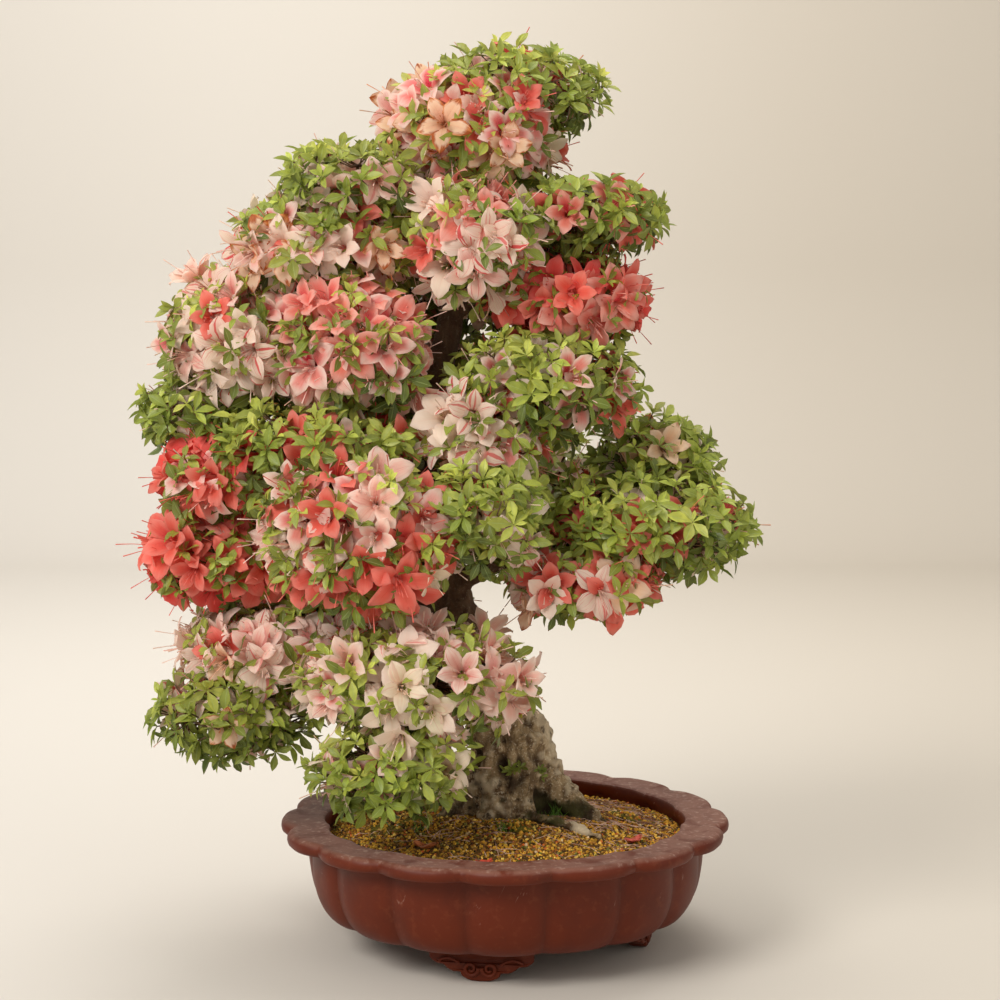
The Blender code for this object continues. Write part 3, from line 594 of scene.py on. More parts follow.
def make_pot(settings):
    body = make_pot_body(settings)
    distance, radius, turns = TIE_HOLES
    cutters = []
    for degrees in turns:
        deselect_all()
        bpy.ops.mesh.primitive_cylinder_add(
            vertices=16, radius=radius, depth=0.03, location=(*polar(degrees, distance), FOOT_HEIGHT + 0.005)
        )
        cutters.append(apply_place(bpy.context.object))
    cutter = join(cutters, "tie_holes")
    weld(body, 1e-7)
    cut = body.modifiers.new("Tie holes", "BOOLEAN")
    cut.operation = "DIFFERENCE"
    cut.object = cutter
    apply_modifiers(body)
    bpy.data.objects.remove(cutter, do_unlink=True)
    pot = join([body, *(make_foot(angle, settings) for angle in FOOT_ANGLES)], "pot_glazed")
    rows = coordinates(pot)
    normals = np.empty(len(rows) * 3)
    pot.data.vertices.foreach_get("normal", normals)
    up = normals.reshape(-1, 3)[:, 2]
    ring = np.hypot(rows[:, 0], rows[:, 1])
    phase = (np.arctan2(rows[:, 1], rows[:, 0]) * LOBES / TURN + 0.5) % 1.0
    outside = ring > 0.130
    on_top = rows[:, 2] > RIM_Z - 0.006
    # upward-facing top of the lip: real dust and wear, and a painted highlight where the light falls on it
    share(pot, "wear_and_highlight", np.clip(smoothstep(0.35, 0.9, up) * on_top, 0.0, 1.0))
    # painted shade in the creases between lobes, below the lip
    crease_shade_share = 1.0 - smoothstep(0.0, 0.12, np.minimum(phase, 1.0 - phase))
    share(pot, "crease_shade", crease_shade_share * outside * (rows[:, 2] < RIM_Z - LIP_THICKNESS + 0.002))
    share(pot, "scuff", outside * smoothstep(0.05, RIM_Z, rows[:, 2]))
    rows[:, 0] += AXIS.x
    rows[:, 1] += AXIS.y
    set_coordinates(pot, rows)
    shade(pot, 38.0)
    return finish(pot, "stoneware", [glaze_material(settings)], "pot")


# ---- drainage ---------------------------------------------------------------------------


def make_drainage():
    net, tree, shader = new_material("Net plastic")
    colour = grain(tree, srgb(38, 40, 42), srgb(22, 23, 24), srgb(70, 70, 70), 120.0, 0.4)
    set_inputs(tree, shader, {
        "Base Color": colour["Color"],
        "Roughness": 0.5,
        "Normal": bump(tree, colour["Height"], 0.0003, 0.3),
    })
    wire, tree, shader = new_material("Aluminium wire")
    place = object_place(tree)
    drawn = noise_texture(tree, place, 260.0, 2.0)
    set_inputs(tree, shader, {
        "Base Color": mix(tree, drawn, srgb(150, 112, 84), srgb(186, 150, 122)),
        "Metallic": 0.9,
        "Roughness": between(tree, drawn, 0.3, 0.7, 0.3, 0.45),
    })
    materials = {"drainage_net": net, "net_clip": wire, "tie_wire_1": wire, "tie_wire_2": wire}
    for name, material in materials.items():
        slots = NODES[name].data.materials
        slots.clear()
        slots.append(material)


# ---- soil -------------------------------------------------------------------------------


def tree_of(*names):
    """A search tree over the faces of carried-over nodes."""
    corners, faces = [], []
    for name in names:
        rows = coordinates(NODES[name])
        base = len(corners)
        corners += [Vector(row) for row in rows]
        faces += [[base + i for i in polygon.vertices] for polygon in NODES[name].data.polygons]
    return BVHTree.FromPolygons(corners, faces)


def ground_at(ground, x, y, wood=None):
    """Where a plumb line meets the soil, and None where wood stands there."""
    above = Vector((x, y, RIM_Z + 0.05))
    place, normal, _, _ = ground.ray_cast(above, Vector((0.0, 0.0, -1.0)))
    if place is None:
        return None, None
    if wood is not None:
        near, _, _, distance = wood.find_nearest(place + Vector((0.0, 0.0, 0.001)))
        if distance < 0.0012 or wood.ray_cast(place, Vector((0.0, 0.0, 1.0)), 0.035)[0] is not None:
            return None, None
    return place, normal


def granule_patterns(count, seed):
    patterns = []
    rng = random.Random(seed)
    for i in range(count):
        deselect_all()
        bpy.ops.mesh.primitive_ico_sphere_add(subdivisions=1, radius=1.0)
        granule = bpy.context.object
        rows = coordinates(granule)
        for row in rows:
            row *= 0.82 + 0.32 * rng.random()
        rows *= (1.0, 0.75 + 0.2 * rng.random(), 0.62 + 0.2 * rng.random())
        set_coordinates(granule, rows)
        patterns.append(Pattern(granule))
    return patterns


GRANULE_TINTS = (
    (srgb(214, 164, 54), 0.22),
    (srgb(190, 140, 44), 0.22),
    (srgb(158, 104, 36), 0.16),
    (srgb(228, 192, 96), 0.09),
    (srgb(118, 72, 32), 0.10),
    (srgb(190, 96, 42), 0.05),
    (srgb(64, 44, 26), 0.09),
    (srgb(104, 104, 46), 0.05),
    (srgb(214, 192, 150), 0.02),
)


def choose(rng, rows):
    pickings = rng.random() * sum(weight for _, weight in rows)
    for value, weight in rows:
        pickings -= weight
        if pickings <= 0.0:
            return value
    return rows[-1][0]


def varied(rng, colour, amount):
    scale = 1.0 + amount * (2.0 * rng.random() - 1.0)
    return tuple(min(c * scale * (1.0 + 0.3 * amount * (2.0 * rng.random() - 1.0)), 1.0) for c in colour)


def soil_material():
    material, tree, shader = new_material("Clay granules")
    tint = attribute(tree, "tint").outputs["Color"]
    rows = grain(tree, tint, srgb(62, 40, 20), srgb(224, 190, 120), 170.0, 0.45)
    set_inputs(tree, shader, {
        "Base Color": rows["Color"],
        "Roughness": 0.92,
        "Specular IOR Level": 0.2,
        "Normal": bump(tree, rows["Height"], 0.0006, 0.6),
    })
    return material


def make_soil(settings):
    bed, tree, shader = new_material("Soil bed")
    rows = grain(tree, srgb(96, 68, 30), srgb(38, 26, 14), srgb(168, 128, 56), 150.0, 0.8)
    set_inputs(tree, shader, {
        "Base Color": rows["Color"],
        "Roughness": 0.95,
        "Specular IOR Level": 0.15,
        "Normal": bump(tree, rows["Height"], 0.0015, 0.9),
    })
    slots = NODES["soil_bed"].data.materials
    slots.clear()
    slots.append(bed)
    ground, wood = tree_of("soil_bed"), tree_of("trunk_and_limbs")
    moss = tree_of("moss_front", "moss_left", "moss_back", "moss_right")
    rng = random.Random(11)
    patterns = granule_patterns(6, 12)
    quarters = [[], [], [], []]
    edge = (SOIL_HIGH.x - SOIL_LOW.x) / 2 - 0.0030
    count = settings.granules
    for i in range(count):
        distance = edge * math.sqrt((i + 0.5) / count)
        angle = i * math.pi * (3.0 - math.sqrt(5.0)) + 0.25 * rng.random()
        x = AXIS.x + distance * math.cos(angle) + rng.uniform(-0.0012, 0.0012)
        y = AXIS.y + distance * math.sin(angle) + rng.uniform(-0.0012, 0.0012)
        place, normal = ground_at(ground, x, y, wood)
        if place is None:
            continue
        on_moss, _ = ground_at(moss, x, y)
        if on_moss is not None and rng.random() < 0.62:
            place = on_moss - Vector((0.0, 0.0, 0.0006))
        size = 0.5 * rng.uniform(*settings.granule_size) * (1.25 if rng.random() < 0.06 else 1.0)
        spin = Quaternion([rng.gauss(0, 1) for _ in range(4)]).normalized()
        turn = np.array(spin.to_matrix())
        # painted shade: over half the granules left of the trunk are darkened, the rest made a little lighter
        painted_shade_left = 0.66 if (x < AXIS.x - 0.02 and rng.random() < 0.55) else 1.12
        tint = varied(rng, choose(rng, GRANULE_TINTS), 0.22)
        tint = tuple(c * painted_shade_left for c in tint)
        sink = size * rng.uniform(-0.25, 0.35)
        pattern = rng.choice(patterns)
        sunk = place + Vector((0.0, 0.0, sink))
        row = (pattern, turn * size, sunk, (*tint, 1.0), (0, 0, 0, rng.random()))
        quarters[(x > AXIS.x) + 2 * (y > AXIS.y)].append(row)
    material = soil_material()
    for name, rows in zip(("front_left", "front_right", "back_left", "back_right"), quarters):
        finish(joined_copies(f"soil_granules_{name}", rows, smooth=False), "soil", [material])
    make_litter(settings, ground, wood)


def make_litter(settings, ground, wood):
    """Dry needles and rootlets lying on the granules, thickest towards the right and back."""
    rng = random.Random(21)
    paths = []
    while len(paths) < settings.needles:
        angle = rng.gauss(15.0, 32.0) if rng.random() < 0.55 else rng.uniform(0.0, 360.0)
        x, y = (a + b for a, b in zip(AXIS.xy, polar(angle, rng.uniform(0.04, 0.158))))
        length = rng.uniform(0.009, 0.036)
        heading = rng.uniform(0.0, TURN)
        curl = rng.uniform(-0.9, 0.9)
        path = []
        for i in range(4):
            t = i / 3
            px = x + length * t * math.cos(heading + curl * t)
            py = y + length * t * math.sin(heading + curl * t)
            place, _ = ground_at(ground, px, py, wood)
            if place is None or (place.xy - AXIS.xy).length > 0.160:
                break
            lift = 0.0020 + 0.0022 * math.sin(math.pi * t) * rng.random()
            path.append((px, py, place.z + lift, rng.uniform(0.00030, 0.00042) * (1.0 - 0.5 * t)))
        if len(path) == 4:
            paths.append(path)
    litter = curve_mesh("dry_needles", paths, 0)
    material, tree, shader = new_material("Dry needles")
    spot = noise_texture(tree, object_place(tree), 55.0, 2.0)
    set_inputs(tree, shader, {
        "Base Color": mix(tree, between(tree, spot, 0.38, 0.62), srgb(132, 88, 66), srgb(220, 182, 160)),
        "Roughness": 0.8,
    })
    shade(litter)
    finish(litter, "soil", [material])


# ---- moss and small weeds ---------------------------------------------------------------


def moss_material():
    material, tree, shader = new_material("Moss")
    rows = grain(tree, srgb(104, 92, 34), srgb(50, 40, 16), srgb(150, 140, 54), 170.0, 0.9)
    set_inputs(tree, shader, {
        "Base Color": rows["Color"],
        "Roughness": 0.95,
        "Specular IOR Level": 0.15,
        "Normal": bump(tree, rows["Height"], 0.002, 0.8),
    })
    return material


def grass_material():
    material, tree, shader = new_material("Grass blades")
    tint = attribute(tree, "tint").outputs["Color"]
    set_inputs(tree, shader, {"Base Color": tint, "Roughness": 0.5})
    add_light_through(tree, shader, tint, 0.3)
    return material


def blade_pattern():
    """A grass blade one unit long, bent over at its tip."""
    deselect_all()
    bpy.ops.mesh.primitive_grid_add(x_subdivisions=1, y_subdivisions=4, size=2.0)
    blade = bpy.context.object
    rows = coordinates(blade)
    along = (rows[:, 1] + 1.0) / 2.0
    wide = 0.055 * (1.0 - 0.9 * along ** 1.5)
    height = along * (1.0 - 0.12 * along)
    set_coordinates(blade, np.stack([rows[:, 0] * wide, 0.35 * along ** 2, height], axis=-1))
    return Pattern(blade)


def make_moss(settings):
    ground, wood = tree_of("soil_bed"), tree_of("trunk_and_limbs")
    material, grass = moss_material(), grass_material()
    blade = blade_pattern()
    rng = random.Random(31)
    for name in ("moss_front", "moss_left", "moss_back", "moss_right"):
        low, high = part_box(name)
        mound = NODES[name].copy()
        mound.data = NODES[name].data.copy()
        mound.parent = None
        bpy.context.scene.collection.objects.link(mound)
        mound.name = f"{name}_cushion"
        weld(mound, 1e-6, outward=False)
        remesh = mound.modifiers.new("Even", "REMESH")
        remesh.mode = "VOXEL"
        remesh.voxel_size = 0.0009
        apply_modifiers(mound)
        rows = coordinates(mound)
        normals = np.empty(len(rows) * 3)
        mound.data.vertices.foreach_get("normal", normals)
        normals = normals.reshape(-1, 3)
        for row, normal in zip(rows, normals):
            tuft = noise.noise(Vector(row) * 420.0) + 0.6 * noise.noise(Vector(row) * 900.0)
            patchy = noise.noise(Vector(row) * 90.0) - 0.25
            row += normal * (0.0012 * tuft + 0.0030 * min(patchy, 0.1)) * (0.3 + 0.7 * (normal[2] > 0.0))
        set_coordinates(mound, rows)
        shade(mound)
        finish(mound, "moss", [material], name)
    placed = []
    for degrees, distance, blades, length in settings_tufts():
        centre = AXIS + Vector((*polar(degrees, distance), 0.0))
        for _ in range(blades):
            x = centre.x + rng.gauss(0.0, 0.004)
            y = centre.y + rng.gauss(0.0, 0.004)
            place, _ = ground_at(ground, x, y)
            if place is None:
                continue
            lean = Vector((rng.gauss(0.0, 0.5), rng.gauss(0.0, 0.5), 1.0))
            turn = np.array(aim(lean, rng.uniform(0.0, TURN))) * length * rng.uniform(0.6, 1.1)
            tint = varied(rng, srgb(96, 134, 48), 0.4)
            placed.append((blade, turn, place, (*tint, 1.0), (0, 0, 0, rng.random())))
    finish(joined_copies("grass_tufts", placed), "leaf", [grass])


def settings_tufts():
    """Tufts of fine grass: angle, distance from the axis, number of blades, length."""
    return (
        (-88.0, 0.064, 30, 0.012),
        (-80.0, 0.058, 16, 0.010),
        (-20.0, 0.050, 26, 0.016),
        (-36.0, 0.046, 20, 0.013),
        (-86.0, 0.135, 10, 0.008),
        (-150.0, 0.090, 16, 0.010),
        (70.0, 0.090, 24, 0.012),
        (150.0, 0.080, 18, 0.011),
    )


# ---- wood -------------------------------------------------------------------------------


def bark_material():
    material, tree, shader = new_material("Old bark")
    place = object_place(tree)
    hollow_and_shade = attribute(tree, "hollow_and_shade").outputs["Fac"]
    young = attribute(tree, "young").outputs["Fac"]
    damp = attribute(tree, "damp").outputs["Fac"]
    rows = grain(tree, srgb(166, 142, 106), srgb(86, 64, 42), srgb(224, 208, 178), 80.0, 0.95)
    fibres = noise_texture(tree, place, 120.0, 4.0, 0.6, (1.0, 1.0, 0.22), 0.8)
    colour = mix(tree, between(tree, fibres, 0.55, 0.38, 0.0, 0.65), rows["Color"], srgb(92, 70, 48))
    # painted highlight: raised bumps of the bark are made paler
    paler = between(tree, attribute(tree, "knob_highlight").outputs["Fac"], 0.35, 1.0, 0.0, 0.7)
    colour = mix(tree, paler, colour, srgb(216, 199, 168))
    pocked = noise_texture(tree, place, 75.0, 4.0, 0.7)
    # painted shade: the bark is darkened in its recesses, in noise pits and on its lower left side
    pits_and_painted_shade = calc(tree, "ADD", hollow_and_shade, between(tree, pocked, 0.46, 0.30, 0.0, 0.55))
    old = calc(tree, "SUBTRACT", 1.0, young, True)
    dark = calc(tree, "MULTIPLY", between(tree, pits_and_painted_shade, 0.10, 0.85), between(tree, old, 0.0, 0.5, 0.4, 1.0))
    colour = mix(tree, calc(tree, "MULTIPLY", dark, 0.92), colour, srgb(46, 32, 21))
    colour = mix(tree, calc(tree, "MULTIPLY", young, 0.8), colour, srgb(84, 60, 46))
    sunken = between(tree, hollow_and_shade, 0.20, 0.50)
    patchy = between(tree, noise_texture(tree, place, 60.0, 3.0), 0.40, 0.55)
    mossy = calc(tree, "MULTIPLY", calc(tree, "MULTIPLY", damp, sunken), patchy)
    colour = mix(tree, mossy, colour, srgb(70, 74, 30))
    height = calc(tree, "ADD", rows["Height"], fibres)
    set_inputs(tree, shader, {
        "Base Color": colour,
        "Roughness": 0.9,
        "Specular IOR Level": 0.2,
        "Normal": bump(tree, height, 0.0022, 0.8),
    })
    return material


def carve_bark(rows, normals, thickness):
    """How far each point of the wood moves along its normal, how deep in a recess it is there, with painted
    shade on the lower left side added in, and how much it is a raised bump, painted paler as a highlight.
    """
    moves = np.zeros(len(rows))
    hollows_and_shade = np.zeros(len(rows))
    knob_highlights = np.zeros(len(rows))
    for i, (row, thick) in enumerate(zip(rows, thickness)):
        x, y, z = row
        old = 1.0 - min(max((z - 0.22) / 0.16, 0.0), 1.0)
        p = Vector((x, y, z * 0.55))
        ridges = 1.0 - abs(noise.noise(p * 48.0 + Vector((7.0, 0.0, 0.0)))) * 2.0
        knots = noise.noise(Vector(row) * 30.0) + 0.6 * noise.noise(Vector(row) * 62.0)
        pits = 1.0 - abs(noise.noise(Vector((x, y, z * 0.8)) * 95.0)) * 2.6
        fine = noise.noise(Vector((x, y, z * 0.5)) * 240.0)
        room = min(thick, 0.08)
        lumps = noise.noise(Vector(row) * 130.0) + 0.5 * noise.noise(Vector(row) * 210.0)
        moves[i] = old * room * (0.125 * knots + 0.060 * (ridges - 0.6)) + old * 0.0020 * min(pits, 0.55)
        moves[i] += old * 0.0026 * lumps
        moves[i] += (1.0 - old) * min(room * 0.10, 0.0010) * (ridges + knots - 0.7)
        moves[i] += min(room * 0.03, 0.0006) * fine
        # painted shade in recesses: furrows, pits and sunken spots darken the bark
        sunk = max(0.0, 0.35 - ridges) * 0.9 + max(0.0, -0.15 - pits) * 0.7 + max(0.0, -0.10 - knots) * 1.3
        # painted shade: the lower left of the trunk, under the crown, is darkened
        painted_side_shade = smoothstep(AXIS.x + 0.022, AXIS.x - 0.030, x) * smoothstep(0.20, 0.16, z)
        hollows_and_shade[i] = old * (sunk + 0.28 * painted_side_shade) + 0.25 * max(0.0, -fine)
        # painted highlight on raised knots and lumps
        knob_highlights[i] = old * (1.1 * knots + 0.9 * lumps + 0.25)
    return moves, hollows_and_shade, knob_highlights


def make_wood(settings):
    node = NODES["trunk_and_limbs"]
    wood = node.copy()
    wood.data = node.data.copy()
    wood.parent = None
    bpy.context.scene.collection.objects.link(wood)
    wood.name = "trunk_bark"
    weld(wood, 1e-6, outward=False)
    remesh = wood.modifiers.new("Even", "REMESH")
    remesh.mode = "VOXEL"
    remesh.voxel_size = settings.bark_grain
    apply_modifiers(wood)
    pick(wood)
    smooth = wood.modifiers.new("Soften", "SMOOTH")
    smooth.factor = 0.5
    smooth.iterations = 4
    apply_modifiers(wood)
    rows = coordinates(wood)
    normals = np.empty(len(rows) * 3)
    wood.data.vertices.foreach_get("normal", normals)
    normals = normals.reshape(-1, 3)
    inside = tree_of("trunk_and_limbs")
    thickness = np.full(len(rows), 0.01)
    for i, (row, normal) in enumerate(zip(rows, normals)):
        start = Vector(row - 0.003 * normal)
        _, _, _, distance = inside.ray_cast(start, Vector(-normal), 0.15)
        thickness[i] = 0.003 + (distance or 0.004)
    moves, hollows_and_shade, knob_highlights = carve_bark(rows, normals, thickness)
    set_coordinates(wood, rows + normals * moves[:, None])
    # painted shade in the recesses and on the lower left side, kept as a share
    share(wood, "hollow_and_shade", hollows_and_shade)
    # painted highlight on raised bumps, kept as a share
    share(wood, "knob_highlight", knob_highlights)
    share(wood, "young", smoothstep(0.19, 0.30, rows[:, 2]))
    low_down = smoothstep(0.150, 0.118, rows[:, 2])
    near_trunk = smoothstep(0.10, 0.06, rows[:, 0] - AXIS.x)
    share(wood, "damp", low_down * near_trunk * 0.6)
    shade(wood)
    return finish(wood, "bark", [bark_material()], "trunk_and_limbs")


# ---- leaves -----------------------------------------------------------------------------


def leaf_whorl(rng, leaves, spread):
    """A ring of pointed leaves round a twig's tip, with a few smaller ones in its middle."""
    made, tones = [], []
    for i in range(leaves):
        deselect_all()
        bpy.ops.mesh.primitive_grid_add(x_subdivisions=2, y_subdivisions=5, size=2.0)
        leaf = bpy.context.object
        rows = coordinates(leaf)
        across, along = rows[:, 0], (rows[:, 1] + 1.0) / 2.0
        inner = i >= leaves - 2
        length = rng.uniform(0.72, 1.0) * (0.6 if inner else 1.0)
        swell = np.interp(along, (0.0, 0.2, 0.4, 0.6, 0.8, 1.0), (0.10, 0.34, 0.80, 1.0, 0.72, 0.03))
        wide = length * rng.uniform(0.185, 0.225) * swell
        x = across * wide
        fold = 0.45 * np.abs(x)
        droop = rng.uniform(0.10, 0.34)
        lift = math.radians(rng.uniform(48.0, 72.0) if inner else rng.uniform(8.0, 48.0)) * spread
        y = length * along
        z = fold - droop * length * along ** 2
        twist = rng.uniform(-0.5, 0.5)
        x, z = x * math.cos(twist) - z * math.sin(twist) * 0.3, z + x * math.sin(twist)
        y, z = y * math.cos(lift) - z * math.sin(lift), y * math.sin(lift) + z * math.cos(lift)
        turn = TURN * i / leaves * 1.0 + rng.uniform(-0.3, 0.3) + (0.5 if inner else 0.0)
        y = y + 0.02
        cos, sin = math.cos(turn), math.sin(turn)
        rows = np.stack([x * cos - y * sin, x * sin + y * cos, z], axis=-1)
        set_coordinates(leaf, rows)
        tone = rng.uniform(1.05, 1.45) if inner else rng.uniform(0.70, 1.15)
        tones.append(np.full(len(rows), tone))
        made.append(leaf)
    whorl = join(made, "whorl")
    share(whorl, "tone", np.concatenate(tones))
    return Pattern(whorl)


def leaf_material():
    material, tree, shader = new_material("Azalea leaf")
    tint = attribute(tree, "tint").outputs["Color"]
    seed = attribute(tree, "mark").outputs["Alpha"]
    uv = add_node(tree, "ShaderNodeSeparateXYZ", None,
                  {0: add_node(tree, "ShaderNodeUVMap", {"uv_map": "UVMap"}).outputs[0]})
    across = calc(tree, "ABSOLUTE", calc(tree, "SUBTRACT", uv.outputs[0], 0.5))
    rib = between(tree, across, 0.07, 0.0)
    lengthwise = calc(tree, "MULTIPLY", uv.outputs[1], 60.0)
    slant = calc(tree, "ADD", lengthwise, calc(tree, "MULTIPLY", across, -46.0))
    vein = between(tree, calc(tree, "SINE", slant), 0.55, 1.0)
    place = object_place(tree)
    patch = noise_texture(tree, place, 140.0, 2.0)
    colour = mix(tree, between(tree, patch, 0.35, 0.65, 0.0, 0.25), tint, srgb(70, 92, 32))
    colour = mix(tree, calc(tree, "MULTIPLY", vein, 0.16), colour, srgb(170, 190, 110))
    colour = mix(tree, calc(tree, "MULTIPLY", rib, 0.55), colour, srgb(176, 196, 118))
    tip = calc(tree, "MULTIPLY", between(tree, uv.outputs[1], 0.86, 1.0), between(tree, seed, 0.6, 0.9))
    colour = mix(tree, calc(tree, "MULTIPLY", tip, 0.6), colour, srgb(150, 78, 48))
    back = add_node(tree, "ShaderNodeNewGeometry").outputs["Backfacing"]
    colour = mix(tree, calc(tree, "MULTIPLY", back, 0.35), colour, srgb(150, 170, 110))
    height = calc(tree, "ADD", calc(tree, "MULTIPLY", rib, -1.0), calc(tree, "MULTIPLY", vein, -0.4))
    set_inputs(tree, shader, {
        "Base Color": colour,
        "Roughness": 0.36,
        "Specular IOR Level": 0.5,
        "Normal": bump(tree, height, 0.0004, 0.5),
    })
    add_light_through(tree, shader, colour, 0.32)
    return material


# ---- flowers ----------------------------------------------------------------------------


PETAL_TIP = 1.45  # how much closer a petal's rows of faces lie towards its tip


def petal_rows(rows, rng, form):
    """A petal from a flat grid: up the flower's tube, out at its throat and back at its tip."""
    across, along = rows[:, 0], 1.0 - (0.5 - rows[:, 1] / 2.0) ** PETAL_TIP
    stretch = rng.uniform(0.90, 1.08)
    radius = np.interp(along, form["along"], form["out"]) * stretch
    height = np.interp(along, form["along"], form["up"])
    half = np.interp(along, form["along"], form["half"]) * rng.uniform(0.92, 1.08)
    x = across * half
    edge = np.abs(across)
    late = smoothstep(0.30, 0.75, along)
    height = height + 0.10 * edge * late - form["roll"] * late * edge ** 4
    height = height + form["ruffle"] * late * edge * np.sin(9.0 * along + rng.uniform(0, TURN) + 2.0 * across)
    height = height + rng.uniform(-0.12, 0.10) * late * along
    twist = rng.uniform(-0.30, 0.30) * late
    height = height + twist * x
    bow = np.sqrt(np.maximum(radius ** 2 - 0.6 * x ** 2 * (1.0 - late), 0.0004))
    y = radius * late + bow * (1.0 - late)
    return x, y, height


OPEN = {
    "along": (0.0, 0.22, 0.42, 0.60, 0.76, 0.89, 0.96, 1.0),
    "out": (0.05, 0.11, 0.23, 0.45, 0.69, 0.90, 1.01, 1.07),
    "up": (0.0, 0.32, 0.57, 0.72, 0.78, 0.74, 0.69, 0.65),
    "half": (0.045, 0.10, 0.215, 0.335, 0.315, 0.185, 0.085, 0.006),
    "roll": 0.09,
    "ruffle": 0.055,
}
WIDE = {
    **OPEN,
    "out": (0.05, 0.13, 0.29, 0.53, 0.76, 0.95, 1.05, 1.10),
    "up": (0.0, 0.26, 0.45, 0.55, 0.56, 0.49, 0.42, 0.37),
}
FUNNEL = {
    **OPEN,
    "out": (0.05, 0.09, 0.17, 0.31, 0.50, 0.68, 0.78, 0.84),
    "up": (0.0, 0.34, 0.66, 0.88, 1.04, 1.12, 1.14, 1.14),
    "half": (0.045, 0.080, 0.155, 0.265, 0.285, 0.175, 0.080, 0.006),
}
LIMP = {
    **OPEN,
    "out": (0.04, 0.10, 0.22, 0.40, 0.54, 0.60, 0.63, 0.64),
    "up": (0.0, 0.28, 0.48, 0.52, 0.38, 0.18, 0.06, -0.02),
    "half": (0.03, 0.07, 0.15, 0.23, 0.25, 0.19, 0.11, 0.015),
    "roll": 0.16,
    "ruffle": 0.17,
}


def flower_pattern(rng, form, stamens=6):
    """Five petals, the first one uppermost along +Y, and the threads in the middle."""
    made, upper, tone = [], [], []
    for i in range(5):
        deselect_all()
        bpy.ops.mesh.primitive_grid_add(x_subdivisions=4, y_subdivisions=6, size=2.0)
        petal = bpy.context.object
        x, y, z = petal_rows(coordinates(petal), rng, form)
        turn = TURN * i / 5 + rng.uniform(-0.10, 0.10)
        z = z + 0.012 * (i % 2)
        cos, sin = math.cos(turn), math.sin(turn)
        rows = np.stack([x * cos - y * sin, x * sin + y * cos, z], axis=-1)
        set_coordinates(petal, rows)
        uvs = petal.data.uv_layers[0].data
        for corner in uvs:
            corner.uv.x += i
        upper.append(np.full(len(rows), (1.0, 0.40, 0.0, 0.0, 0.40)[i]))
        tone.append(np.full(len(rows), rng.uniform(0.93, 1.05)))
        made.append(petal)
    if stamens:
        paths = []
        for i in range(stamens):
            long_one = i == 0
            turn = rng.uniform(0.0, TURN)
            reach = 1.65 if long_one else rng.uniform(0.80, 1.10)
            radii = (0.013, 0.013, 0.013, 0.022) if long_one else (0.014, 0.014, 0.014, 0.034)
            lean = rng.uniform(0.10, 0.26)
            path = []
            for k in range(4):
                t = k / 3
                droop = 0.20 * t * t if long_one else 0.10 * t * t
                x, y = lean * t * math.cos(turn), lean * t * math.sin(turn) - droop
                path.append((x, y, 0.10 + reach * t, radii[k]))
            paths.append(path)
        threads = stamen_mesh(paths)
        upper.append(np.zeros(len(threads.data.vertices)))
        tone.append(np.ones(len(threads.data.vertices)))
        made.append(threads)
    flower = join(made, "flower")
    share(flower, "upper", np.concatenate(upper))
    share(flower, "tone", np.concatenate(tone))
    return Pattern(flower)


def stamen_mesh(paths):
    """Threads of three sides each, open at both ends, in the second finish."""
    made = []
    for path in paths:
        deselect_all()
        bpy.ops.mesh.primitive_grid_add(x_subdivisions=3, y_subdivisions=len(path) - 1, size=2.0)
        thread = bpy.context.object
        rows = coordinates(thread)
        around = (rows[:, 0] + 1.0) * math.pi
        step = (rows[:, 1] + 1.0) / 2.0 * (len(path) - 1)
        middle = np.array([path[int(round(s))] for s in step])
        x = middle[:, 0] + middle[:, 3] * np.cos(around)
        y = middle[:, 1] + middle[:, 3] * np.sin(around)
        set_coordinates(thread, np.stack([x, y, middle[:, 2]], axis=-1))
        made.append(thread)
    threads = join(made, "threads")
    threads.data.polygons.foreach_set("material_index", [1] * len(threads.data.polygons))
    return threads


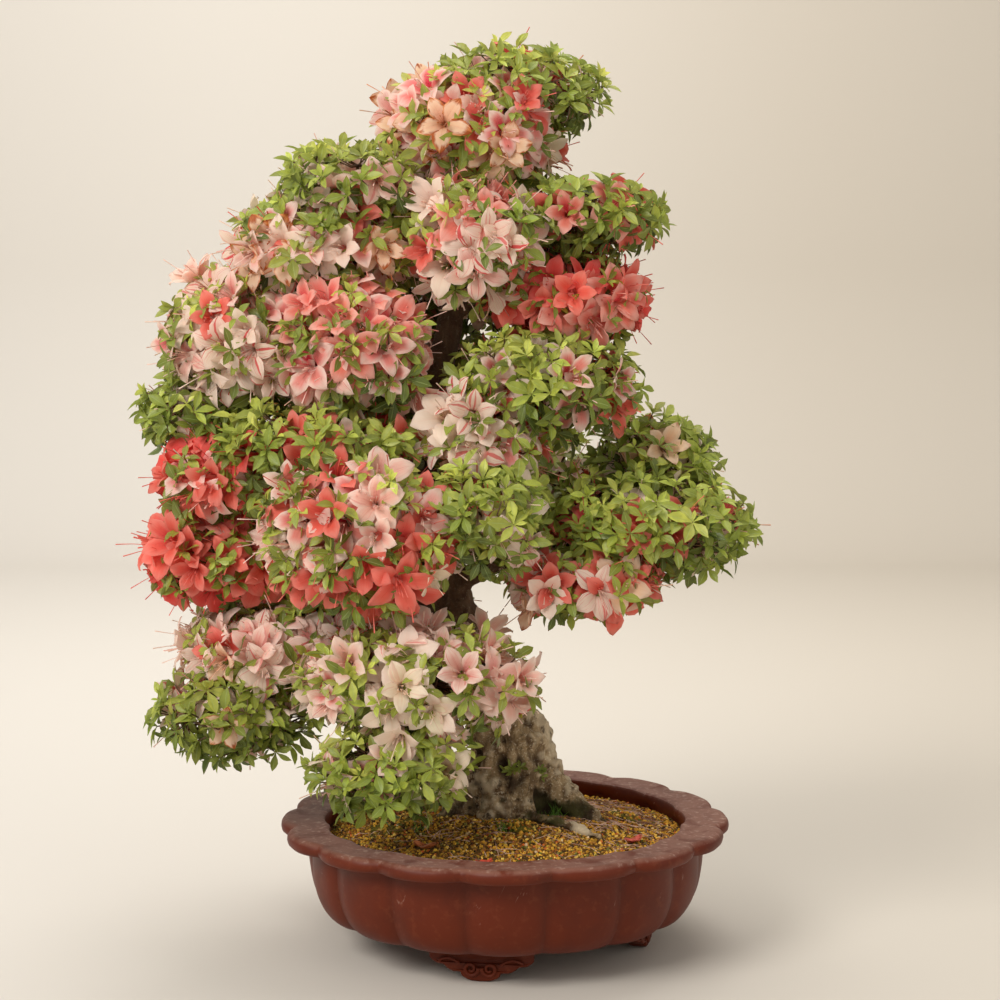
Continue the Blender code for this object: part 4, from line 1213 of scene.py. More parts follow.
def petal_material():
    """Colour from each flower's tint; its marks are the blotch, stripes, withering and seed."""
    material, tree, shader = new_material("Azalea petal")
    tint = attribute(tree, "tint")
    mark = attribute(tree, "mark")
    marks = add_node(tree, "ShaderNodeSeparateColor", None, {0: mark.outputs["Color"]})
    blotch, stripe, wilt = marks.outputs[0], marks.outputs[1], marks.outputs[2]
    seed = mark.outputs["Alpha"]
    uv_out = add_node(tree, "ShaderNodeUVMap", {"uv_map": "UVMap"}).outputs[0]
    uv = add_node(tree, "ShaderNodeSeparateXYZ", None, {0: uv_out})
    from_tip = calc(tree, "SUBTRACT", 1.0, uv.outputs[1])
    along = calc(tree, "SUBTRACT", 1.0, calc(tree, "POWER", from_tip, PETAL_TIP))
    beside = calc(tree, "FRACT", uv.outputs[0])
    across = calc(tree, "MULTIPLY", calc(tree, "ABSOLUTE", calc(tree, "SUBTRACT", beside, 0.5)), 2.0)
    seeded = add_node(tree, "ShaderNodeCombineXYZ", None,
                      {0: calc(tree, "ADD", uv.outputs[0], calc(tree, "MULTIPLY", seed, 37.0)),
                       1: along, 2: calc(tree, "MULTIPLY", seed, 19.0)}).outputs[0]
    rim = calc(tree, "MAXIMUM", across, between(tree, along, 0.55, 1.0))
    paler = calc(tree, "MULTIPLY", between(tree, rim, 0.25, 0.98), tint.outputs["Alpha"])
    colour = mix(tree, paler, tint.outputs["Color"], srgb(252, 232, 218))
    veins = noise_texture(tree, seeded, 3.0, 2.0, 0.5, (9.0, 0.7, 1.0), 0.3)
    colour = mix(tree, between(tree, veins, 0.45, 0.70, 0.0, 0.20), colour, tint.outputs["Color"], "MULTIPLY")
    throat = between(tree, along, 0.50, 0.12)
    deep = mix(tree, 1.0, tint.outputs["Color"], (0.78, 0.62, 0.50), "MULTIPLY")
    colour = mix(tree, calc(tree, "MULTIPLY", throat, 0.55), colour, deep)
    midline = calc(tree, "MULTIPLY", between(tree, across, 0.10, 0.0), between(tree, along, 1.0, 0.4))
    colour = mix(tree, calc(tree, "MULTIPLY", midline, 0.22), colour, deep)
    bold = noise_texture(tree, seeded, 2.2, 1.0, 0.4, (2.2, 0.25, 1.0))
    fine = noise_texture(tree, seeded, 3.0, 1.0, 0.4, (9.0, 0.30, 1.0))
    bold = calc(tree, "MULTIPLY", between(tree, bold, 0.635, 0.655), between(tree, along, 0.15, 0.35))
    fine = calc(tree, "MULTIPLY", between(tree, fine, 0.60, 0.68), 0.55)
    striped = calc(tree, "MULTIPLY", calc(tree, "MAXIMUM", bold, fine), stripe)
    colour = mix(tree, striped, colour, srgb(224, 72, 74))
    flush = calc(tree, "MULTIPLY", between(tree, along, 0.90, 0.45), between(tree, across, 0.90, 0.25))
    flushed = calc(tree, "MULTIPLY", flush, calc(tree, "MULTIPLY", blotch, 0.95))
    colour = mix(tree, flushed, colour, srgb(226, 44, 76))
    dots_sockets = {"Vector": seeded, "Scale": 13.0, "Randomness": 1.0}
    dots = add_node(tree, "ShaderNodeTexVoronoi", None, dots_sockets).outputs["Distance"]
    spots = calc(tree, "MULTIPLY", between(tree, dots, 0.30, 0.20), calc(tree, "MULTIPLY", flush, blotch))
    colour = mix(tree, calc(tree, "MULTIPLY", spots, 0.8), colour, srgb(150, 14, 46))
    patch = noise_texture(tree, seeded, 2.6, 3.0, 0.6, None, 0.5)
    limp = calc(tree, "ADD", calc(tree, "MULTIPLY", rim, 0.55), calc(tree, "MULTIPLY", patch, 0.6))
    dry = between(tree, calc(tree, "ADD", limp, calc(tree, "MULTIPLY", wilt, 0.75)), 1.12, 1.32)
    dry = calc(tree, "MULTIPLY", dry, between(tree, wilt, 0.02, 0.12))
    withered = mix(tree, between(tree, patch, 0.40, 0.62), srgb(232, 146, 78), srgb(184, 96, 48))
    colour = mix(tree, dry, colour, withered)
    height = calc(tree, "ADD", calc(tree, "MULTIPLY", veins, 0.5), calc(tree, "MULTIPLY", midline, -0.8))
    set_inputs(tree, shader, {
        "Base Color": colour,
        "Roughness": 0.52,
        "Specular IOR Level": 0.28,
        "Normal": bump(tree, height, 0.0006, 0.45),
    })
    add_light_through(tree, shader, colour, 0.38)
    return material


def thread_material():
    material, tree, shader = new_material("Flower threads")
    tint = attribute(tree, "tint").outputs["Color"]
    colour = mix(tree, 0.5, tint, srgb(244, 206, 186))
    uv_out = add_node(tree, "ShaderNodeUVMap", {"uv_map": "UVMap"}).outputs[0]
    along = add_node(tree, "ShaderNodeSeparateXYZ", None, {0: uv_out}).outputs[1]
    colour = mix(tree, between(tree, along, 0.80, 0.92, 0.0, 0.85), colour, srgb(120, 62, 44))
    set_inputs(tree, shader, {"Base Color": colour, "Roughness": 0.5})
    return material


# tint, how pale the rim is, blotch, stripes, withering
KINDS = {
    "coral": (srgb(245, 112, 94), 0.16, 0.5, 0.0, 0.0),
    "scarlet": (srgb(234, 78, 68), 0.10, 0.5, 0.0, 0.0),
    "salmon": (srgb(248, 142, 124), 0.40, 0.9, 0.0, 0.0),
    "pink": (srgb(246, 152, 142), 0.85, 1.0, 0.15, 0.0),
    "blush": (srgb(250, 200, 184), 0.75, 0.5, 0.6, 0.0),
    "shell": (srgb(252, 228, 210), 0.45, 0.10, 0.95, 0.0),
    "cream": (srgb(252, 236, 210), 0.25, 0.0, 0.3, 0.25),
    "faded": (srgb(250, 208, 172), 0.40, 0.3, 0.1, 0.70),
    "withered": (srgb(244, 190, 134), 0.30, 0.1, 0.0, 0.90),
}

PALETTES = {
    "apex": (("pink", 3), ("blush", 2), ("coral", 1.5), ("faded", 2.5), ("withered", 1), ("cream", 1)),
    "upper_left": (("shell", 4), ("blush", 3), ("pink", 1), ("coral", 0.6), ("faded", 0.5)),
    "upper_right": (("coral", 5), ("scarlet", 3), ("salmon", 1)),
    "upper_front": (("blush", 2), ("shell", 3), ("salmon", 1), ("coral", 2)),
    "left": (("shell", 4), ("blush", 3), ("pink", 1.5), ("coral", 0.4)),
    "left_front": (("pink", 5), ("salmon", 2), ("coral", 1), ("blush", 1)),
    "center_right": (("coral", 2), ("pink", 2), ("shell", 2), ("faded", 1)),
    "left_center": (("coral", 4), ("scarlet", 3), ("pink", 1), ("blush", 1)),
    "mid_left": (("coral", 5), ("scarlet", 3), ("salmon", 1)),
    "center_front": (("blush", 3), ("shell", 3), ("coral", 2.5), ("pink", 2), ("cream", 1)),
    "right": (("coral", 4), ("shell", 2), ("faded", 1)),
    "right_riser": (("shell", 1), ("faded", 1)),
    "lower_left": (("shell", 5), ("blush", 2), ("coral", 0.8), ("faded", 0.6)),
    "lower_front": (("shell", 5), ("blush", 2), ("cream", 1), ("pink", 0.5)),
    "back_low": (("shell", 3), ("blush", 2), ("coral", 1)),
    "back_mid": (("coral", 3), ("pink", 2), ("blush", 2)),
    "back_high": (("pink", 2), ("blush", 2), ("faded", 1)),
}


def palette_for(region):
    return PALETTES.get(region, (("blush", 1), ("coral", 1), ("shell", 1)))


CROWN = tuple(
    (name, *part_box(name)) for name in sorted(NODES) if name.startswith(("blossoms_", "leaves_"))
)
FLOWER_SPACING = 0.0285  # between flowers on a flowering mass
SPARSE_FLOWER_SPACING = 0.046  # on a leafy mass
LEAF_SPACING = 0.0165  # between whorls on a leafy mass
LEAF_SPACING_AMONG_FLOWERS = 0.0185
FLOWER_ROOM = 0.0115  # no whorl stands nearer to a flower's middle
BUNCHES = 5  # in each mass
TRUNK_SHOOTS = (  # across from the pot's axis, height, whorls, length of a leaf
    (0.009, 0.166, 5, 0.010),
    (0.033, 0.157, 3, 0.008),
    (0.028, 0.233, 2, 0.009),
)


def depth_inside(point, skip):
    """How deep a point lies in the other masses: 1 in the middle of one, 0 on its skin, less outside."""
    deepest = -1.0
    for name, low, high in CROWN:
        if name == skip:
            continue
        middle, half = (low + high) / 2, (high - low) / 2
        away = Vector(((point - middle)[i] / half[i] for i in range(3))).length
        deepest = max(deepest, 1.0 - away)
    return deepest


def skin_points(name, low, high, spacing, rng, inset):
    """Points spread over a mass's skin, and the way out there, where no other mass covers it."""
    middle, half = (low + high) / 2, (high - low) / 2
    p = 1.6
    thirds = ((half.x * half.y) ** p / 3 + (half.x * half.z) ** p / 3 + (half.y * half.z) ** p / 3)
    area = 4 * math.pi * thirds ** (1 / p)
    count = max(6, int(area / (spacing * spacing * 0.866)))
    found = []
    start = rng.random() * TURN
    for i in range(count):
        up = 1.0 - 2.0 * (i + 0.5) / count
        ring = math.sqrt(1.0 - up * up)
        angle = start + i * math.pi * (3.0 - math.sqrt(5.0))
        unit = Vector((ring * math.cos(angle), ring * math.sin(angle), up))
        unit += Vector((rng.gauss(0, 0.10), rng.gauss(0, 0.10), rng.gauss(0, 0.10)))
        unit.normalize()
        out = Vector((unit.x / half.x, unit.y / half.y, unit.z / half.z)).normalized()
        point = middle + Vector((unit.x * half.x, unit.y * half.y, unit.z * half.z)) - out * inset
        if depth_inside(point, name) < 0.22:
            found.append((point, out))
    return found


def jitter_of(rng, amount):
    return Vector((rng.gauss(0, amount), rng.gauss(0, amount), rng.gauss(0, amount)))


def outward(point, wood_x=-0.01):
    """Away from the tree's middle, level."""
    way = Vector((point.x - wood_x, point.y - 0.01, 0.0))
    return way.normalized() if way.length > 1e-5 else Vector((0.0, -1.0, 0.0))


def bunches_of(rng, palette, low, high):
    """Places in a mass round which one colour of flower prevails, as it does along a twig."""
    middle, half = (low + high) / 2, (high - low) / 2
    places = []
    for _ in range(BUNCHES):
        place = middle + Vector((half[i] * rng.uniform(-0.9, 0.9) for i in range(3)))
        places.append((place, choose(rng, palette)))
    return places


def kind_at(rng, point, bunches, palette):
    if rng.random() < 0.50:
        return choose(rng, palette)
    return min(bunches, key=lambda bunch: (bunch[0] - point).length)[1]


class Crown:
    """Every leaf whorl and flower, by the mass that it belongs to, and the twigs that carry them."""

    def __init__(self, settings):
        rng = random.Random(41)
        self.settings = settings
        spreads = (0.5, 0.8, 1.0, 1.0, 1.15)
        self.whorls = [leaf_whorl(rng, rng.choice((5, 6, 7)), spread) for spread in spreads]
        self.open = [flower_pattern(rng, form) for form in (OPEN, OPEN, WIDE, WIDE, FUNNEL)]
        self.funnels = [flower_pattern(rng, FUNNEL), flower_pattern(rng, FUNNEL, 4)]
        self.limp = [flower_pattern(rng, LIMP, 3), flower_pattern(rng, LIMP, 2)]
        self.leaves = {}
        self.flowers = {}
        self.tips = []
        self.flower_places = []

    def add_whorl(self, region, rng, point, direction, tone_and_painted_light, size=None, twig=True):
        size = size or self.settings.leaf_length * rng.uniform(0.80, 1.15)
        # leaf tints from dark to light: each whorl's random tone, with painted light on whorls facing up and
        # painted shade inside the crown
        dark, middle, light = srgb(96, 108, 40), srgb(170, 180, 70), srgb(218, 224, 106)
        if tone_and_painted_light < 0.5:
            tint = [a + (b - a) * tone_and_painted_light * 2.0 for a, b in zip(dark, middle)]
        else:
            tint = [a + (b - a) * (tone_and_painted_light * 2.0 - 1.0) for a, b in zip(middle, light)]
        tint = varied(rng, tint, 0.18)
        turn = np.array(aim(direction, rng.uniform(0.0, TURN))) * size
        row = (rng.choice(self.whorls), turn, point, (*tint, 1.0), (0.0, 0.0, 0.0, rng.random()))
        self.leaves.setdefault(region, []).append(row)
        if twig:
            self.tips.append((region, Vector(point)))

    def add_flower(self, region, rng, point, direction, kind, size=None, roll=None, form=None):
        tint, rim, blotch, stripe, wilt = KINDS[kind]
        size = size or 0.5 * self.settings.flower_width * rng.uniform(0.86, 1.10)
        if form is None:
            dice = rng.random()
            if kind == "withered" or (kind == "faded" and dice < 0.5):
                form = "limp"
            elif dice < 0.80:
                form = "open"
            else:
                form = "funnel"
        group = {"open": self.open, "funnel": self.funnels, "limp": self.limp}[form]
        roll = rng.gauss(0.0, 0.5) if roll is None else roll
        turn = np.array(aim(direction, roll)) * size
        base = Vector(point) - Vector(direction).normalized() * size * 0.62
        marks = (
            blotch * rng.uniform(0.5, 1.0),
            stripe * (rng.random() < 0.6) * rng.uniform(0.5, 1.0),
            wilt * rng.uniform(0.6, 1.0) if wilt else (0.25 if rng.random() < 0.10 else 0.0),
            rng.random(),
        )
        row = (rng.choice(group), turn, base, (*varied(rng, tint, 0.08), rim), marks)
        self.flowers.setdefault(region, []).append(row)
        self.tips.append((region, base))

    def grow_trunk_shoots(self):
        """Small shoots straight out of the old wood of the trunk."""
        rng = random.Random(81)
        wood = tree_of("trunk_and_limbs")
        for x, z, count, length in TRUNK_SHOOTS:
            for _ in range(count):
                aside = Vector((rng.gauss(0.0, 0.004), 0.0, rng.gauss(0.0, 0.003)))
                target = Vector((AXIS.x + x, -0.3, z)) + aside
                place, normal, _, _ = wood.ray_cast(target, Vector((0.0, 1.0, 0.0)))
                if place is None:
                    place, normal, _, _ = wood.find_nearest(target)
                way = normal + Vector((0.0, -0.2, 0.9)) + jitter_of(rng, 0.5)
                # darker than most whorls: painted shade under the crown
                tone_and_painted_light = rng.uniform(0.2, 0.45)
                self.add_whorl("leaves_lower_front", rng, place + normal * 0.002, way, tone_and_painted_light, length, False)

    def grow_flowers(self, index, name, low, high):
        """Flowers all over a mass's skin; those on the tree's front turn to it."""
        rng = random.Random(100 + index)
        blossoms = name.startswith("blossoms_")
        palette = palette_for(name.split("_", 1)[1])
        bunches = bunches_of(rng, palette, low, high)
        spacing = FLOWER_SPACING if blossoms else SPARSE_FLOWER_SPACING
        for point, out in skin_points(name, low, high, spacing, rng, 0.010):
            if out.z < -0.75 and rng.random() < 0.6:
                continue
            point = point + out * (0.016 * noise.noise(point * 22.0) - rng.uniform(0.0, 0.012))
            ahead = max(0.0, -out.y)
            way = out + outward(point) * 0.40 + Vector((0.0, -0.7 * ahead, 0.12)) + jitter_of(rng, 0.30)
            self.add_flower(name, rng, point, way, kind_at(rng, point, bunches, palette))
            self.flower_places.append(point)

    def find_flowers(self):
        self.flower_tree = KDTree(len(self.flower_places))
        for i, place in enumerate(self.flower_places):
            self.flower_tree.insert(place, i)
        self.flower_tree.balance()

    def grow_leaves(self, index, name, low, high):
        """Leaves between a mass's flowers, all over its skin, painted lighter where they face up, and ones
        inside it darkened as painted shade.
        """
        rng = random.Random(200 + index)
        blossoms = name.startswith("blossoms_")
        spacing = LEAF_SPACING_AMONG_FLOWERS if blossoms else LEAF_SPACING
        for point, out in skin_points(name, low, high, spacing, rng, 0.012 if blossoms else 0.004):
            place = point + out * (0.010 * noise.noise(point * 22.0) + rng.uniform(-0.006, 0.008))
            if self.flower_tree.find(place)[2] < FLOWER_ROOM:
                continue
            way = out * 0.75 + outward(point) * 0.30 + Vector((0.0, -0.15, 0.50)) + jitter_of(rng, 0.38)
            # painted light: whorls facing up are lighter, with a random tone
            tone_and_painted_light = 0.48 + 0.30 * out.z + rng.gauss(0, 0.18)
            self.add_whorl(name, rng, place, way, min(max(tone_and_painted_light, 0.0), 1.0))
        middle = (low + high) / 2
        shrink_low, shrink_high = middle + (low - middle) * 0.66, middle + (high - middle) * 0.66
        for point, out in skin_points(name, shrink_low, shrink_high, 0.034 if blossoms else 0.030, rng, 0.0):
            way = out + Vector((0.0, 0.0, 0.3)) + jitter_of(rng, 0.4)
            # painted shade: whorls inside the mass are kept dark
            self.add_whorl(name, rng, point, way, min(max(0.10 + rng.gauss(0, 0.10), 0.0), 1.0))


def finished_crown(settings):
    crown = Crown(settings)
    for index, (name, low, high) in enumerate(CROWN):
        crown.grow_flowers(index, name, low, high)
    crown.find_flowers()
    crown.grow_trunk_shoots()
    for index, (name, low, high) in enumerate(CROWN):
        crown.grow_leaves(index, name, low, high)
    return crown


def make_foliage_and_flowers(settings):
    crown = finished_crown(settings)
    leaf, petal, thread = leaf_material(), petal_material(), thread_material()
    for name, _, _ in CROWN:
        kind, region = name.split("_", 1)
        leaves = crown.leaves.get(name)
        flowers = crown.flowers.get(name)
        if not (leaves if kind == "leaves" else flowers):
            raise RuntimeError(f"{name} has nothing growing on it")
        if leaves:
            title = "foliage" if kind == "leaves" else "foliage_among"
            piece = joined_copies(f"{title}_{region}", leaves)
            finish(piece, "leaf", [leaf], *([name] if kind == "leaves" else []))
        if flowers:
            title = "flowers" if kind == "blossoms" else "flowers_among"
            piece = joined_copies(f"{title}_{region}", flowers)
            finish(piece, "blossom", [petal, thread], *([name] if kind == "blossoms" else []))
    make_twigs(crown)


def make_twigs(crown):
    """Fine twigs from the limbs to a few forks in each mass, and from the forks to every whorl."""
    rng = random.Random(51)
    wood = coordinates(NODES["trunk_and_limbs"])
    wood = wood[wood[:, 2] > RIM_Z + 0.09]
    limbs = KDTree(len(wood))
    for i, row in enumerate(wood):
        limbs.insert(row, i)
    limbs.balance()
    regions = {}
    for region, point in crown.tips:
        regions.setdefault(region, []).append(point)
    thick, thin = [], []
    for region in sorted(regions):
        tips = regions[region]
        forks = [tips[rng.randrange(len(tips))].copy() for _ in range(max(3, len(tips) // 9))]
        middle = sum(tips, Vector()) / len(tips)
        ends = []
        for fork in forks:
            end = fork.lerp(middle, 0.38)
            start = Vector(limbs.find(end)[0])
            sag = Vector((rng.gauss(0, 0.006), rng.gauss(0, 0.006), rng.gauss(0, 0.006) - 0.004))
            path = []
            for k in range(5):
                t = k / 4
                place = start.lerp(end, t) + sag * math.sin(math.pi * t)
                path.append((*place, 0.0022 * (1.0 - 0.45 * t)))
            thick.append(path)
            ends.append(end)
        near = KDTree(len(ends))
        for i, end in enumerate(ends):
            near.insert(end, i)
        near.balance()
        for tip in tips:
            start = Vector(near.find(tip)[0])
            sag = Vector((rng.gauss(0, 0.003), rng.gauss(0, 0.003), -0.003))
            path = []
            for k in range(3):
                t = k / 2
                path.append((*(start.lerp(tip, t) + sag * math.sin(math.pi * t)), 0.0010 * (1.0 - 0.4 * t)))
            thin.append(path)
    twigs = join([curve_mesh("twigs_thick", thick, 1), curve_mesh("twigs_thin", thin, 0)], "twigs")
    material, tree, shader = new_material("Twig bark")
    rows = grain(tree, srgb(104, 76, 56), srgb(58, 40, 30), srgb(160, 132, 104), 140.0, 0.6)
    set_inputs(tree, shader, {
        "Base Color": rows["Color"],
        "Roughness": 0.85,
        "Normal": bump(tree, rows["Height"], 0.0006, 0.6),
    })
    shade(twigs)
    finish(twigs, "bark", [material])


# ---- fallen petals ----------------------------------------------------------------------


def make_fallen_petals():
    material, tree, shader = new_material("Fallen petal")
    tint = attribute(tree, "tint").outputs["Color"]
    uv_out = add_node(tree, "ShaderNodeUVMap", {"uv_map": "UVMap"}).outputs[0]
    patch = noise_texture(tree, uv_out, 3.2, 3.0)
    colour = mix(tree, between(tree, patch, 0.44, 0.62), tint, srgb(138, 66, 34))
    dents = bump(tree, patch, 0.001, 0.5)
    set_inputs(tree, shader, {"Base Color": colour, "Roughness": 0.6, "Normal": dents})
    add_light_through(tree, shader, colour, 0.2)
    rng = random.Random(61)
    tints = (srgb(232, 96, 52), srgb(222, 80, 58), srgb(204, 120, 62), srgb(226, 108, 92))
    names = sorted(name for name in NODES if name.startswith("fallen_petal"))
    for name, tint in zip(names, tints):
        low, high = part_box(name)
        middle, half = (low + high) / 2, (high - low) / 2
        deselect_all()
        bpy.ops.mesh.primitive_grid_add(x_subdivisions=10, y_subdivisions=14, size=2.0)
        petal = bpy.context.object
        rows = coordinates(petal)
        across, along = rows[:, 0], rows[:, 1]
        shape = np.sqrt(np.clip(1.0 - np.abs(along) ** 2.4, 0.0, 1.0)) * (0.62 + 0.18 * along)
        reach = min(half.x, half.y)
        curl = half.z * 2.0 * (0.35 * across ** 2 + 0.45 * along ** 2)
        curl = curl + 0.0007 * np.sin(5.0 * along + 3.0 * across + rng.uniform(0, TURN))
        turn = rng.uniform(0.0, TURN)
        x, y = across * np.maximum(shape, 0.05) * reach, along * reach
        rows = np.stack([x * math.cos(turn) - y * math.sin(turn) + middle.x,
                         x * math.sin(turn) + y * math.cos(turn) + middle.y,
                         low.z + 0.0010 + curl], axis=-1)
        set_coordinates(petal, rows)
        petal.name = f"{name}_curled"
        layer = petal.data.attributes.new("tint", "FLOAT_COLOR", "POINT")
        layer.data.foreach_set("color", np.tile((*tint, 1.0), len(rows)))
        solid = petal.modifiers.new("Thickness", "SOLIDIFY")
        solid.thickness = 0.0004
        apply_modifiers(petal)
        apply_place(petal)
        shade(petal)
        finish(petal, "wilted_petal", [material], name)


# ---- stage ------------------------------------------------------------------------------


def area_light(name, place, target, size, power, colour):
    data = bpy.data.lights.new(name, "AREA")
    data.shape = "DISK"
    data.size = size
    data.energy = power
    data.color = colour
    light = bpy.data.objects.new(name, data)
    light.location = place
    light.rotation_euler = (Vector(target) - Vector(place)).to_track_quat("-Z", "Y").to_euler()
    bpy.context.scene.collection.objects.link(light)


def make_stage(settings):
    deselect_all()
    bpy.ops.mesh.primitive_plane_add(size=1.0)
    sweep = bpy.context.object
    sweep.name = "studio_sweep"
    rows = coordinates(sweep)
    rows = rows * (9.0, 7.2, 1.0) + (AXIS.x, 0.0, 0.0)  # the wall stands outside the camera's circle
    set_coordinates(sweep, rows)
    bpy.ops.object.mode_set(mode="EDIT")
    bpy.ops.mesh.select_all(action="DESELECT")
    bpy.ops.object.mode_set(mode="OBJECT")
    back = rows[:, 1].max()
    for edge in sweep.data.edges:
        edge.select = all(abs(rows[i][1] - back) < 1e-6 for i in edge.vertices)
    bpy.ops.object.mode_set(mode="EDIT")
    bpy.ops.mesh.select_mode(type="EDGE")
    bpy.ops.mesh.extrude_region_move(TRANSFORM_OT_translate={"value": (0.0, 0.0, 4.0)})
    bpy.ops.object.mode_set(mode="OBJECT")
    bend = sweep.modifiers.new("Cove", "BEVEL")
    bend.width = 0.7
    bend.segments = 24
    bend.limit_method = "ANGLE"
    apply_modifiers(sweep)
    shade(sweep)
    material, tree, shader = new_material("Studio paper")
    across = add_node(tree, "ShaderNodeSeparateXYZ", None, {0: object_place(tree)}).outputs[0]
    # painted shade: the paper darkens towards its right side
    painted_dimming = between(tree, across, -0.7, 1.0)
    painted_side_shade = tuple(c * d for c, d in zip(settings.paper, (0.90, 0.87, 0.82)))
    paper = mix(tree, painted_dimming, tuple(settings.paper), painted_side_shade)
    set_inputs(tree, shader, {"Base Color": paper, "Roughness": 0.9, "Specular IOR Level": 0.1})
    sweep.data.materials.append(material)
    middle = (AXIS.x, 0.0, 0.45)
    area_light("key", (-1.9, -2.2, 2.4), middle, 1.8, settings.key_power, (1.0, 0.97, 0.93))
    area_light("fill", (2.6, -2.4, 1.3), middle, 2.4, settings.key_power * 0.17, (1.0, 0.96, 0.90))
    area_light("top", (0.2, 0.6, 2.8), middle, 2.2, settings.key_power * 0.35, (1.0, 0.98, 0.95))
    wall = (-0.2, 3.6, 0.8)
    area_light("wall", (-0.3, 1.6, 2.6), wall, 2.2, settings.key_power * 0.45, (1.0, 0.97, 0.93))
    world = bpy.data.worlds.new("Studio air")
    world.use_nodes = True
    world.node_tree.nodes["Background"].inputs[0].default_value = (1.0, 0.965, 0.92, 1.0)
    world.node_tree.nodes["Background"].inputs[1].default_value = settings.air_light
    bpy.context.scene.world = world
    bpy.context.scene.view_settings.view_transform = "Standard"
    data = bpy.data.cameras.new("camera")
    data.lens = settings.lens
    data.sensor_width = 36.0
    camera = bpy.data.objects.new("camera", data)
    camera.location = (AXIS.x - 0.0051, -settings.camera_distance, settings.camera_height)
    camera.rotation_euler = (math.radians(90.0) - settings.camera_tilt, 0.0, 0.0)
    bpy.context.scene.collection.objects.link(camera)
    bpy.context.scene.camera = camera


# ---- settings, operators and panel --------------------------------------------------------


class BonsaiPotSettings(bpy.types.PropertyGroup):
    """Sizes and colour of the pot"""

    lip_notch: FloatProperty(
        name="Lip notch", description="How far the lip draws in between two lobes",
        default=0.0085, unit="LENGTH"
    )
    opening_notch: FloatProperty(
        name="Opening notch", description="How far the opening's edge draws in", default=0.0035, unit="LENGTH"
    )
    flute_depth: FloatProperty(
        name="Flute depth", description="Depth of the valleys between the wall's lobes",
        default=0.0050, unit="LENGTH"
    )
    overlap: FloatProperty(
        name="Overlap", description="How far a lobe's edge stands over the next one",
        default=0.0016, unit="LENGTH"
    )
    foot_width: FloatProperty(
        name="Foot width", description="Width of a bracket foot along the base", default=0.098, unit="LENGTH"
    )
    glaze: FloatVectorProperty(
        name="Glaze", description="Colour of the unworn clay", subtype="COLOR", default=srgb(94, 33, 10)
    )


class BonsaiSoilSettings(bpy.types.PropertyGroup):
    """What lies on the soil"""

    granules: IntProperty(name="Granules", description="Clay granules on the surface", default=13500, min=0)
    granule_size: FloatVectorProperty(
        name="Granule size", description="Smallest and largest granule",
        size=2, default=(0.0022, 0.0047), unit="LENGTH"
    )
    needles: IntProperty(name="Needles", description="Dry needles on the granules", default=330, min=0)


class BonsaiTreeSettings(bpy.types.PropertyGroup):
    """Sizes in the wood, leaves and flowers"""

    bark_grain: FloatProperty(
        name="Bark grain", description="Size of the faces that the bark is carved in",
        default=0.0021, unit="LENGTH"
    )
    leaf_length: FloatProperty(name="Leaf length", description="Longest leaf", default=0.022, unit="LENGTH")
    flower_width: FloatProperty(
        name="Flower width", description="Across an open flower", default=0.054, unit="LENGTH"
    )


class BonsaiStageSettings(bpy.types.PropertyGroup):
    """Paper, light and camera"""

    paper: FloatVectorProperty(
        name="Paper", description="Colour of the floor and backdrop",
        subtype="COLOR", default=srgb(210, 205, 197)
    )
    key_power: FloatProperty(
        name="Key power", description="Power of the main light", default=92.0, unit="POWER"
    )
    air_light: FloatProperty(name="Air light", description="Light from all round", default=0.55, min=0.0)
    lens: FloatProperty(name="Lens", description="Focal length in millimetres", default=77.65)
    camera_distance: FloatProperty(
        name="Camera distance", description="In front of the pot's axis", default=2.0, unit="LENGTH"
    )
    camera_height: FloatProperty(
        name="Camera height", description="Above the floor", default=0.599, unit="LENGTH"
    )
    camera_tilt: FloatProperty(
        name="Camera tilt", description="Below the level", default=math.radians(5.2), subtype="ANGLE"
    )


class BONSAI_OT_stage(bpy.types.Operator):
    """Floor, backdrop, lights and camera"""

    bl_idname = "bonsai.stage"
    bl_label = "Stage"

    def execute(self, context):
        make_stage(context.scene.bonsai_stage)
        return {"FINISHED"}


class BONSAI_OT_pot(bpy.types.Operator):
    """Lobed stoneware pot on four scroll feet"""

    bl_idname = "bonsai.pot"
    bl_label = "Pot"

    def execute(self, context):
        make_pot(context.scene.bonsai_pot)
        return {"FINISHED"}


class BONSAI_OT_drainage(bpy.types.Operator):
    """Finishes of the drainage net, its clip and the tie wires"""

    bl_idname = "bonsai.drainage"
    bl_label = "Drainage"

    def execute(self, context):
        make_drainage()
        return {"FINISHED"}


class BONSAI_OT_soil(bpy.types.Operator):
    """Soil bed, clay granules and dry needles"""

    bl_idname = "bonsai.soil"
    bl_label = "Soil"

    def execute(self, context):
        make_soil(context.scene.bonsai_soil)
        return {"FINISHED"}


class BONSAI_OT_moss(bpy.types.Operator):
    """Moss cushions and grass tufts"""

    bl_idname = "bonsai.moss"
    bl_label = "Moss"

    def execute(self, context):
        make_moss(context.scene.bonsai_soil)
        return {"FINISHED"}


class BONSAI_OT_fallen_petals(bpy.types.Operator):
    """Curled petals lying on the soil"""

    bl_idname = "bonsai.fallen_petals"
    bl_label = "Fallen petals"

    def execute(self, context):
        make_fallen_petals()
        return {"FINISHED"}


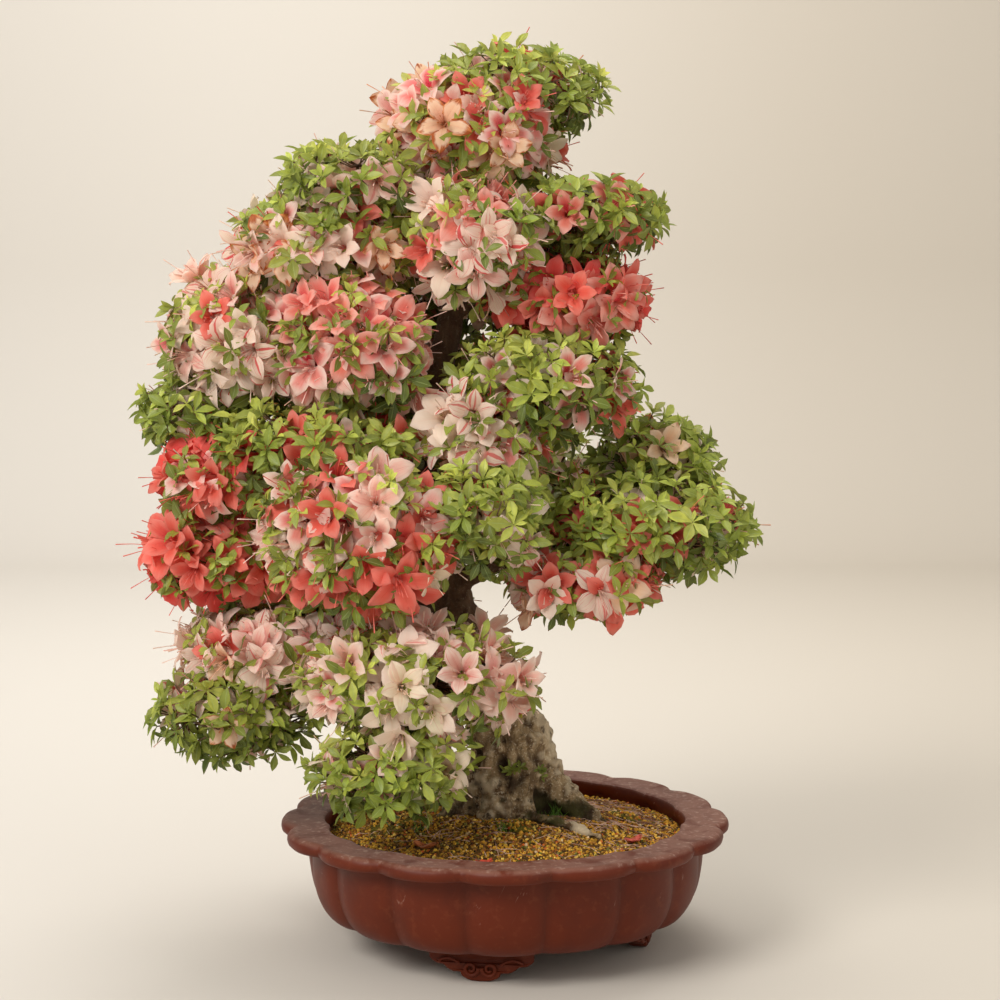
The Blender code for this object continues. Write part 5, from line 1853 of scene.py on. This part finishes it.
class BONSAI_OT_wood(bpy.types.Operator):
    """Trunk, limbs and roots with carved bark"""

    bl_idname = "bonsai.wood"
    bl_label = "Wood"

    def execute(self, context):
        make_wood(context.scene.bonsai_tree)
        return {"FINISHED"}


class BONSAI_OT_crown(bpy.types.Operator):
    """Leaf whorls, flowers and the twigs that carry them"""

    bl_idname = "bonsai.crown"
    bl_label = "Crown"

    def execute(self, context):
        make_foliage_and_flowers(context.scene.bonsai_tree)
        return {"FINISHED"}


OPERATORS = (
    BONSAI_OT_stage,
    BONSAI_OT_pot,
    BONSAI_OT_drainage,
    BONSAI_OT_soil,
    BONSAI_OT_moss,
    BONSAI_OT_fallen_petals,
    BONSAI_OT_wood,
    BONSAI_OT_crown,
)


class BONSAI_PT_panel(bpy.types.Panel):
    """Lists the pieces and their sizes"""

    bl_idname = "BONSAI_PT_panel"
    bl_label = "Bonsai"
    bl_space_type = "VIEW_3D"
    bl_region_type = "UI"
    bl_category = "Bonsai"

    def draw(self, context):
        scene = context.scene
        for operator in OPERATORS:
            self.layout.operator(operator.bl_idname)
        for group in (scene.bonsai_pot, scene.bonsai_soil, scene.bonsai_tree, scene.bonsai_stage):
            box = self.layout.box()
            for name in group.bl_rna.properties.keys():
                if name not in ("rna_type", "name"):
                    box.prop(group, name)


SETTINGS = {
    "bonsai_pot": BonsaiPotSettings,
    "bonsai_soil": BonsaiSoilSettings,
    "bonsai_tree": BonsaiTreeSettings,
    "bonsai_stage": BonsaiStageSettings,
}


def register():
    for group in SETTINGS.values():
        bpy.utils.register_class(group)
    for operator in OPERATORS:
        bpy.utils.register_class(operator)
    bpy.utils.register_class(BONSAI_PT_panel)
    for name, group in SETTINGS.items():
        setattr(bpy.types.Scene, name, PointerProperty(type=group))


def unregister():
    for name in SETTINGS:
        delattr(bpy.types.Scene, name)
    bpy.utils.unregister_class(BONSAI_PT_panel)
    for operator in reversed(OPERATORS):
        bpy.utils.unregister_class(operator)
    for group in reversed(list(SETTINGS.values())):
        bpy.utils.unregister_class(group)


def main():
    register()
    for operator in OPERATORS:
        group, name = operator.bl_idname.split(".")
        getattr(getattr(bpy.ops, group), name)()


if __name__ == "__main__":
    main()
